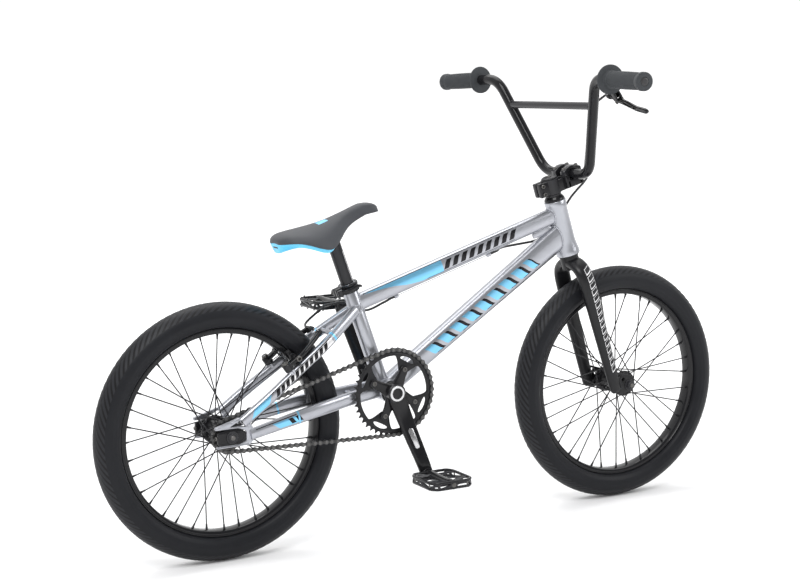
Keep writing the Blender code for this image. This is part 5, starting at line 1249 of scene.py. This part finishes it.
def addSpiderAndSpindle(bm, outer):
    root = bottomBracket - across * (driveSet["line"] + driveSet["ringThick"] / 2 + gap + 0.0028)
    arm = ((0.012, 0.029, 0.008), (0.024, 0.025, 0.0066), (0.038, 0.0195, 0.0054), (0.049, 0.019, 0.0052),
           (0.057, 0.0165, 0.005), (0.06, 0.009, 0.004))
    for turn in turns(driveSet["arms"]):
        reach = inWheel(crankAngle + pi / driveSet["arms"] + turn)
        flat = reach.cross(across).normalized()
        addRings(bm, [ovalRing(root + reach * d, across, flat, thick / 2, width / 2, 28, 0.7)
                      for d, width, thick in arm], 0)
        addBolt(bm, root + reach * driveSet["bolts"] - across * 0.0022, across * -1, 0.0048, 0.0016, 2)
    addTurned(bm, [(0.009, -0.058), (0.012, -0.058), (0.012, 0.061), (0.009, 0.061)], bottomBracket, across,
              2, 40, hollow=True)
    addTurned(bm, [(0.0112, outer - 0.0012), (0.016, outer - 0.0012), (0.0162, outer + 0.0002),
                   (0.0156, outer + 0.001), (0.0118, outer + 0.001)],
              bottomBracket, across * -1, 1, 48, hollow=True)


pedalSet = {"length": 0.098, "width": 0.104, "thick": 0.0175, "axle": 0.005, "pin": 0.0016, "pinHigh": 0.003,
            "struts": 12}


def makePedal(word, side, eye):
    flange = driveSet["eyePlace"] + driveSet["eyeWidth"] + gap
    start = flange + 0.0043
    end = start + pedalSet["width"]
    out = across * side
    axle, bore = pedalSet["axle"], pedalSet["axle"] + gap
    shape = startShape()
    addTurned(shape, [(0.006, driveSet["eyePlace"] + 0.001), (0.0069, 0.0735), (0.0069, flange),
                      (0.0086, flange), (0.009, flange + 0.0006), (0.009, flange + 0.0036),
                      (0.0086, flange + 0.004), (axle, flange + 0.004), (axle, end - 0.0005),
                      (0.0042, end)], eye, out, 0, 28)
    makePiece("pedal_spindle_" + word, shape, "cranks", [steelDark], ["pedal_axle_" + word])
    shape = startShape()
    half, wide, high = pedalSet["length"] / 2, pedalSet["width"] / 2, pedalSet["thick"] / 2 - 0.0028
    turn = placed(eye + out * (start + end) / 2, ahead, out, ahead.cross(out))

    def onPedal(x, y, z):
        return turn @ Vector((x * half, y * wide, z))

    corners = ((-1, -0.7), (-0.8, -1), (0.8, -1), (1, -0.7), (1, 0.75), (0.75, 1), (-0.75, 1), (-1, 0.75))
    outline = roundedOutline([(x * half, y * wide) for x, y in corners], 0.005)
    frames = {face: [turn @ Vector((x * 0.95, y * 0.95, face * high)) for x, y in outline]
              for face in (-1, 1)}
    for line in frames.values():
        addTube(shape, line, 0.0031, 0, 10, closed=True)
    count, total = pedalSet["struts"], len(outline)
    places = []
    for k in range(count):  # points at even steps round the cage
        low, share = divmod(k / count * total, 1.0)
        low = int(low)
        places.append([frames[face][low].lerp(frames[face][(low + 1) % total], share) for face in (-1, 1)])
    for k, (under, over) in enumerate(places):
        nextUnder, nextOver = places[(k + 1) % count]
        addTube(shape, (under, nextOver) if k % 2 == 0 else (over, nextUnder), 0.0028, 0, 8)
    for sign in (-1, 1):
        for near, far in ((-0.62, -0.5), (0.58, 0.42)):
            for face in (-1, 1):
                inside = turn @ Vector((sign * 0.007, near * wide, face * 0.0035))
                addTube(shape, [inside, onPedal(sign * 0.95, far, face * high)], 0.0024, 0, 8)
    addTurned(shape, [(bore, start), (0.0092, start), (0.01, start + 0.001), (0.01, start + 0.03),
                      (0.0088, start + 0.04), (0.0088, end - 0.03), (0.0098, end - 0.02),
                      (0.0098, end - 0.003), (0.008, end - 0.0005),
                      (bore, end - 0.0005)], eye, out, 0, 32, hollow=True)
    spots = [(x, y) for x in (-0.94, 0.94) for y in (-0.55, 0.05, 0.62)]
    spots += [(-0.7, -0.93), (0.7, -0.93), (-0.66, 0.93), (0.66, 0.93)]
    for x, y in spots:
        for face in (-1, 1):
            foot = onPedal(x, y, face * 0.0055)
            addRod(shape, foot, foot + upward * face * (pedalSet["pinHigh"] + 0.003), pedalSet["pin"], 1, 10,
                   0.0004)
    makePiece("pedal_cage_" + word, shape, word + "_pedal", [blackGloss, steelDark],
              ["pedal_" + word])


def makeCups():
    face = frameSet["shellHalf"] + gap
    notches = [(0.0215 - 0.0006 * (i % 2), face + 0.0015 + 0.0009 * i) for i in range(7)]
    profile = [(0.0123, face), (0.0209, face), *notches, (0.0212, face + 0.009), (0.02, face + 0.01),
               (0.0123, face + 0.01)]
    for word, side in sides.items():
        shape = startShape()
        addTurned(shape, profile, bottomBracket, across * side, 0, 48, hollow=True)
        makePiece("bearing_cup_" + word, shape, "main_frame", [blackSatin],
                  ["bottom_bracket_cup_" + word])


makeChain()
makeSprockets()
makeCrank("right", right, 1)
makeCrank("left", left, -1)
makePedal("right", right, rightEye)
makePedal("left", left, jointPlace("left_pedal_spin"))
makeCups()
print("drive made")

# Saddle, post and clamp
saddleSet = {"length": 0.236, "half": 0.066, "nose": 0.019, "slope": radians(16.3), "fromTail": 0.122,
             "pivot": 0.015, "shell": 0.005, "pad": 0.02, "skirt": 0.0272, "rows": 56, "across": 17}
saddleAlong = Vector((cos(saddleSet["slope"]), 0.0, sin(saddleSet["slope"])))
saddleUp = Vector((-sin(saddleSet["slope"]), 0.0, cos(saddleSet["slope"])))


def saddleHalf(share):
    half, nose = saddleSet["half"], saddleSet["nose"]
    if share < 0.3:
        return half * (0.62 + 0.38 * sin(share / 0.3 * pi / 2))
    return nose + (half - nose) * (0.5 + 0.5 * cos(pi * min((share - 0.3) / 0.45, 1.0)))


def saddleEnd(share):
    tail = sqrt(max(1 - (1 - min(share / 0.1, 1.0)) ** 2, 0.0)) * 0.6 + 0.4
    nose = sqrt(max(1 - (max(share - 0.9, 0.0) / 0.1) ** 2, 0.0)) * 0.82 + 0.18
    return min(tail, nose)


def saddleLine(share):
    along = share * saddleSet["length"] - saddleSet["fromTail"]
    dip = 0.006 * (1 + cos(share * 2 * pi)) - 0.008 * max(share - 0.85, 0.0) / 0.15
    return saddlePivot + saddleAlong * along + saddleUp * (saddleSet["pivot"] + dip)


def ramp(value, start, span):
    return min(max((value - start) / span, 0.0), 1.0)


def makeSaddle():
    pad, shell = startShape(), startShape()
    count, thick = saddleSet["across"], saddleSet["shell"]
    padRings, shellRings = [], []
    for row in range(saddleSet["rows"] + 1):
        share = 0.5 - 0.5 * cos(pi * row / saddleSet["rows"])
        half = saddleHalf(share) * saddleEnd(share)
        sag = saddleSet["skirt"] * exp(-((share - 0.37) / 0.185) ** 2) + 0.001
        padding = saddleSet["pad"] * saddleEnd(share) * (0.62 + 0.38 * sin(pi * share))
        skirt = 0.003 * ramp(0.45 - share, 0.0, 0.1)
        stern = 0.016 * max(1.0 - share / 0.28, 0.0)  # the shell shows deepest under the tail
        wrap = ramp(share, 0.3, 0.25)  # further on the cover is drawn down over it
        under, over, low, high = [], [], [], []
        for i in range(count):
            x = sin(pi * (i / (count - 1) - 0.5))
            edge = abs(x) ** 4
            hem = wrap * (thick + 0.0015) * ramp(abs(x), 0.86, 0.06)
            crown = max(padding * (1.0 - abs(x) ** 3.2) ** 0.5, 0.0006)
            tuck = 0.0012 * exp(-((abs(x) - 0.93) / 0.06) ** 2)
            shellX = x * (1 - 0.14 * wrap)
            centre = saddleLine(share) - saddleUp * sag * x * x
            under.append(centre + across * half * x * (0.95 + 0.05 * wrap) + saddleUp * (thick + gap - hem))
            over.append(centre + across * half * x * (1.03 + 0.03 * wrap)
                        + saddleUp * (thick + crown - tuck - hem * 0.7))
            low.append(centre + across * half * shellX * (1 - 0.05 * edge)
                       + saddleUp * (gap - skirt * edge - stern * (1 - edge)))
            high.append(centre + across * half * shellX + saddleUp * thick)
        padRings.append(under + over[::-1])
        shellRings.append(low + high[::-1])
    addRings(pad, padRings, 0)
    addRings(shell, shellRings, 0)
    cushion = makePiece("saddle_cushion", pad, "saddle", [saddleCover], ["saddle_pad"],
                        sharp=70)
    turn = (saddleAlong, across, saddleUp)
    cradle = saddlePivot + saddleUp * (saddleSet["pivot"] + 0.0012)
    addBlock(shell, (0.036, 0.03, 0.006), placed(cradle, *turn), 1, 0.0015)
    cheek = roundedOutline([(-0.014, 0.016), (-0.01, -0.004), (0.01, -0.004), (0.014, 0.016)], 0.004)
    for out in (across, across * -1):
        flat = placed(saddlePivot + out * 0.0165, saddleAlong, saddleUp, across * -1)
        addPlate(shell, [cheek], 0.004, flat, 1, 0.0008)
        addBolt(shell, saddlePivot + out * 0.018, out, 0.005, 0.0036, 1)
    tail = saddleLine(0.0) + saddleUp * -0.0035 - saddleAlong * 0.0002  # slot in the tail of the shell
    addBlock(shell, (0.001, 0.02, 0.003), placed(tail, *turn), 1, 0.0004)
    makePiece("saddle_base", shell, "saddle", [bluePlastic, blackPlastic], ["saddle_shell"])


def makePost():
    shape = startShape()
    r, seatTop = 0.0136, layout["seatTube"]
    foot = onSeatTube(seatTop - 0.085)
    length = (saddlePivot - seatUp * 0.004 - foot).length
    addTurned(shape, [(r - 0.001, 0.0), (r, 0.001), (r, length)], foot, seatUp, 0, 48)
    for angle in (-0.62, -0.92):  # two light flutes down the front
        out = (axesFor(seatUp)[0] * cos(angle) + across * sin(angle)).normalized()
        start = onSeatTube(seatTop + 0.004) + out * r
        addTube(shape, [start, start + seatUp * 0.064], 0.0006, 1, 8)
    addTurned(shape, [(0.0135, -0.014), (0.015, -0.013), (0.015, 0.013), (0.0135, 0.014)], saddlePivot,
              across,
              0, 48)
    makePiece("seat_post_tube", shape, "post", [blackGloss, steelBright], ["seat_post"])


def makeClamp():
    shape = startShape()
    bore, outer, height = 0.0162, 0.0212, 0.018
    addTurned(shape, [(bore, 0.0), (outer - 0.001, 0.0), (outer, 0.001), (outer, 0.005),
                      (outer - 0.001, 0.006), (outer - 0.001, 0.012), (outer, 0.013), (outer, height - 0.001),
                      (outer - 0.001, height),
                      (bore, height)], onSeatTube(layout["seatTube"] - height), seatUp, 0, 56, hollow=True)
    back = axesFor(seatUp)[0]
    back = back if back.x < 0 else back * -1
    middle = onSeatTube(layout["seatTube"] - height / 2) + back * (outer + 0.012)
    for side in sides.values():
        ear = middle - back * 0.011 + across * side * 0.006
        addBlock(shape, (0.022, 0.0098, height - 0.002), placed(ear, back, across, seatUp), 0, 0.002)
    makePiece("seat_clamp_collar", shape, "main_frame", [blackGloss], ["seat_clamp"])
    skewer = middle - back * 0.005
    shape = startShape()
    addRod(shape, skewer - across * 0.0112, skewer + across * 0.0112, 0.0024, 0, 20)
    addTurned(shape, [(0.0058, 0.0114), (0.0062, 0.012), (0.0062, 0.015), (0.0052, 0.0172), (0.003, 0.0174)],
              skewer, across, 0, 24)
    makePiece("seat_clamp_bolt", shape, "main_frame", [steelDark], ["seat_clamp_skewer"])
    cam = jointPlace("seat_clamp_release")
    shape = startShape()
    addRod(shape, cam - seatUp * 0.0065, cam + seatUp * 0.0065, 0.006, 0, 32, 0.001)
    handle = ((0.0, 0.001, 0.0, 0.006, 0.0095), (0.0075, 0.012, 0.0, 0.0055, 0.009),
              (0.0085, 0.026, 0.0, 0.005, 0.0082), (0.0084, 0.038, 0.0015, 0.0045, 0.0072),
              (0.0082, 0.046, -0.0015, 0.0035, 0.0055))  # out, forward, up, width and depth
    sections = eased([(cam - across * x - back * y + seatUp * z, w, d) for x, y, z, w, d in handle])
    addRings(shape, [ovalRing(c, across, seatUp, w / 2, d / 2, 28, 0.75) for c, w, d in sections], 0)
    makePiece("seat_clamp_handle", shape, "clamp_lever", [blackGloss], ["seat_clamp_lever"])


makeSaddle()
makePost()
makeClamp()
print("saddle made")

# Rear brake
brakeSet = {"arm": 0.104, "depth": 0.01, "pad": (0.046, 0.009, 0.008), "fromEdge": 0.002, "clear": 0.002,
            "boss": 0.0095}


def makeBrakeArm(word, side):
    body, out = word + "_brake_arm", across * side
    stud, bore, boss = frameSet["studFromAxle"], frameSet["stud"] + gap, brakeSet["boss"]
    studSide = staySide(stud)
    pivot = onStay(stud, side * studSide)
    low = stayLift + frameSet["stay"][1] / 2 + 0.002
    mid = low + 0.01
    shape = startShape()
    addTurned(shape, [(bore, low), (boss - 0.001, low), (boss, low + 0.001), (boss, low + 0.015),
                      (boss - 0.001, low + 0.016), (bore, low + 0.016)], pivot, stayOut, 0, 40, hollow=True)
    addBolt(shape, pivot + stayOut * (low + 0.016), stayOut, 0.0068, 0.005, 1)
    spans = ((0.006, studSide, 0.016), (0.04, studSide + 0.001, 0.013), (0.078, 0.038, 0.012),
             (brakeSet["arm"], 0.026, 0.01))
    sections = [(onStay(stud + d, side * p, mid), w, brakeSet["depth"]) for d, p, w in spans]
    addOval(shape, eased(sections), 0, 32, 0.6)
    tip = onStay(stud + brakeSet["arm"] - 0.004, side * 0.026, mid)
    addRod(shape, tip - stayOut * 0.006, tip + stayOut * 0.0058, 0.0058, 0, 28)
    length, thick, tall = brakeSet["pad"]
    padLift = mid - 0.008
    padAt = sqrt((rimSet["inner"] + brakeSet["fromEdge"] + tall / 2) ** 2 - padLift ** 2)
    addBolt(shape, onStay(padAt, side * (studSide + 0.007), mid), out, 0.006, 0.0055, 1)
    wire = ((0.0, studSide, 0.002), (0.02, studSide - 0.0085, 0.003), (0.07, studSide - 0.0105, 0.004),
            (0.082, 0.0305, 0.004))
    spring = [onStay(stud + d, side * place, low + lift) for d, place, lift in wire]
    addTube(shape, smoothRoute(spring), 0.0009, 1, 10)
    makePiece("brake_arm_forging_" + word, shape, body, [blackGloss, steelDark],
              ["brake_arm_" + word])
    shape = startShape()
    face = rimSet["half"] + brakeSet["clear"] + thick / 2
    centre = onStay(padAt, side * face, padLift)
    for finish, shift, size in ((0, -0.2, (length, thick * 0.6, tall)),
                                (1, 0.25, (length * 0.94, thick * 0.5, tall * 0.9))):
        turn = placed(centre + out * thick * shift, stayOut, across, stayAlong)
        addBlock(shape, size, turn, finish, 0.0018)
    post = onStay(padAt, side * face, mid)
    washers = [(0.003, 0.0), (0.003, 0.006), (0.0072, 0.0062), (0.0072, 0.0085), (0.0064, 0.009),
               (0.0064, 0.0115)]
    addTurned(shape, washers, post, out, 1, 28)
    addRod(shape, post, post + out * (studSide - 0.0073 - face), 0.0029, 1, 20)
    makePiece("brake_shoe_" + word, shape, body, [blackMatt, blackSatin],
              ["brake_pad_" + word])
    return body, stud, mid


def makeNoodle(body, stud, mid):
    tip = onStay(stud + brakeSet["arm"] - 0.004, 0.0, mid + brakeSet["depth"] / 2 + cableSet["housing"] + gap)
    bends = ((0.043, 0.05), (0.044, 0.03), (0.041, 0.01), (0.028, 0.0), (0.012, 0.0), (-0.002, 0.0))
    route = smoothRoute([tip + across * place + stayAlong * rise for place, rise in bends])
    shape = startShape()
    addTube(shape, route, cableSet["housing"], 0, 16)
    ferrule = [(0.0028, 0.0), (0.0034, 0.001), (0.0034, 0.007), (0.0028, 0.008)]
    addTurned(shape, ferrule, route[0], route[1] - route[0], 0, 20)
    folds = [(0.0034 + 0.001 * (k % 2), 0.0026 * k) for k in range(6)]  # rubber boot on the end of the pipe
    addTurned(shape, folds, tip + across * 0.0062, across * -1, 1, 24)
    addRod(shape, tip - across * 0.006, tip - across * 0.033, 0.0009, 2, 10, 0.0002)
    makePiece("brake_noodle_pipe", shape, body, [blackGloss, gripRubber, steelBright],
              ["brake_noodle"])
    return route[0], (route[0] - route[1]).normalized()


def makeRearHousing(mouth, mouthOut):
    start = rearStop - topAlong * (cableSet["stopHalf"] + gap)
    route = [start, start - topAlong * 0.01, start - topAlong * 0.024 + across * 0.008 + topUnder * 0.004,
             onSeatTube(0.174, 0.024) + ahead * 0.03, onSeatTube(0.194, 0.028), mouth + mouthOut * 0.016,
             mouth + mouthOut * 0.008, mouth + mouthOut * gap * 2]
    shape = startShape()
    addTube(shape, smoothRoute(route), cableSet["housing"], 0, 14)
    makePiece("brake_cable_rear", shape, "main_frame", [blackPlastic],
              ["brake_housing_rear"])


noodleEnd = makeNoodle(*makeBrakeArm("left", left))
makeBrakeArm("right", right)
makeRearHousing(*noodleEnd)
print("brake made")

# Solids that stay as they are, inside the pieces above
hidden = {"front_inner_tube": tyreRubber, "rear_inner_tube": tyreRubber, "front_hub_bearings": steelDark,
          "rear_hub_bearings": steelDark, "headset_upper_bearing": steelDark,
          "headset_lower_bearing": steelDark}
for node, finish in hidden.items():
    solid = frame["nodes"][node]
    solid.data.materials.clear()
    solid.data.materials.append(finish)

# Floor and light
studioSet = {"floor": 90.0, "floorColour": (0.93, 0.93, 0.935), "near": 0.3, "far": 1.05, "glow": (0.02, 0.5),
             "lamps": {"key": ((-1.8, -2.2, 3.6), 110.0, 2.2), "fill": ((2.8, -2.4, 2.2), 45.0, 1.8),
                       "top": ((0.2, 1.2, 3.8), 70.0, 3.0)}}


def easedRange(tree, value, start, end, low, high):
    inputs = {"Value": value, "From Min": start, "From Max": end, "To Min": low, "To Max": high}
    return addNode(tree, "ShaderNodeMapRange", inputs, interpolation_type="SMOOTHSTEP").outputs["Result"]


def makeFloor():
    reach = studioSet["floor"] / 2
    corners = [(x * reach, y * reach, -0.0005) for x, y in ((-1, -1), (1, -1), (1, 1), (-1, 1))]
    mesh = bpy.data.meshes.new("floor")
    mesh.from_pydata(corners, [], [(0, 1, 2, 3)])
    paper = makeFinish("floor_paper", {"colour": studioSet["floorColour"], "shade": (0.9, 0.9, 0.905),
                                       "rough": (0.7, 0.8), "grain": 3.0, "bump": 0.0})
    tree = paper.node_tree
    place = addNode(tree, "ShaderNodeTexCoord").outputs["Object"]
    away = addNode(tree, "ShaderNodeVectorMath", {0: place}, operation="LENGTH").outputs["Value"]
    glow = easedRange(tree, away, 1.0, 3.2, *studioSet["glow"])  # painted glow: the paper gives off light, weak near the bike and stronger away from it
    fillInputs(tree, tree.nodes["Principled BSDF"], {"Emission Color": (1.0, 1.0, 1.0),
                                                     "Emission Strength": glow})
    mesh.materials.append(paper)
    floor = bpy.data.objects.new("floor", mesh)
    bpy.context.scene.collection.objects.link(floor)


def makeStudio():
    makeFloor()
    world = bpy.data.worlds.new("studio")
    world.use_nodes = True
    tree = world.node_tree
    place = addNode(tree, "ShaderNodeTexCoord").outputs["Generated"]
    way = addNode(tree, "ShaderNodeSeparateXYZ", {"Vector": place}).outputs["Y"]
    sweep = easedRange(tree, way, -0.7, 0.35, studioSet["near"], studioSet["far"])  # darker on the near side
    seen = addNode(tree, "ShaderNodeLightPath").outputs["Is Camera Ray"]  # the room itself shows white
    fillInputs(tree, tree.nodes["Background"], {"Color": (1.0, 1.0, 1.0),
                                                "Strength": sumNode(tree, "MAXIMUM", sweep, seen)})
    bpy.context.scene.world = world
    for name, (place, power, size) in studioSet["lamps"].items():
        data = bpy.data.lights.new(name, "AREA")
        data.energy = power
        data.size = size
        lamp = bpy.data.objects.new(name, data)
        lamp.location = place
        aim = Vector((0.0, 0.0, 0.45)) - Vector(place)
        lamp.rotation_euler = aim.to_track_quat("-Z", "Y").to_euler()
        bpy.context.scene.collection.objects.link(lamp)
    bpy.context.scene.view_settings.view_transform = "Standard"


makeStudio()
print("studio made")
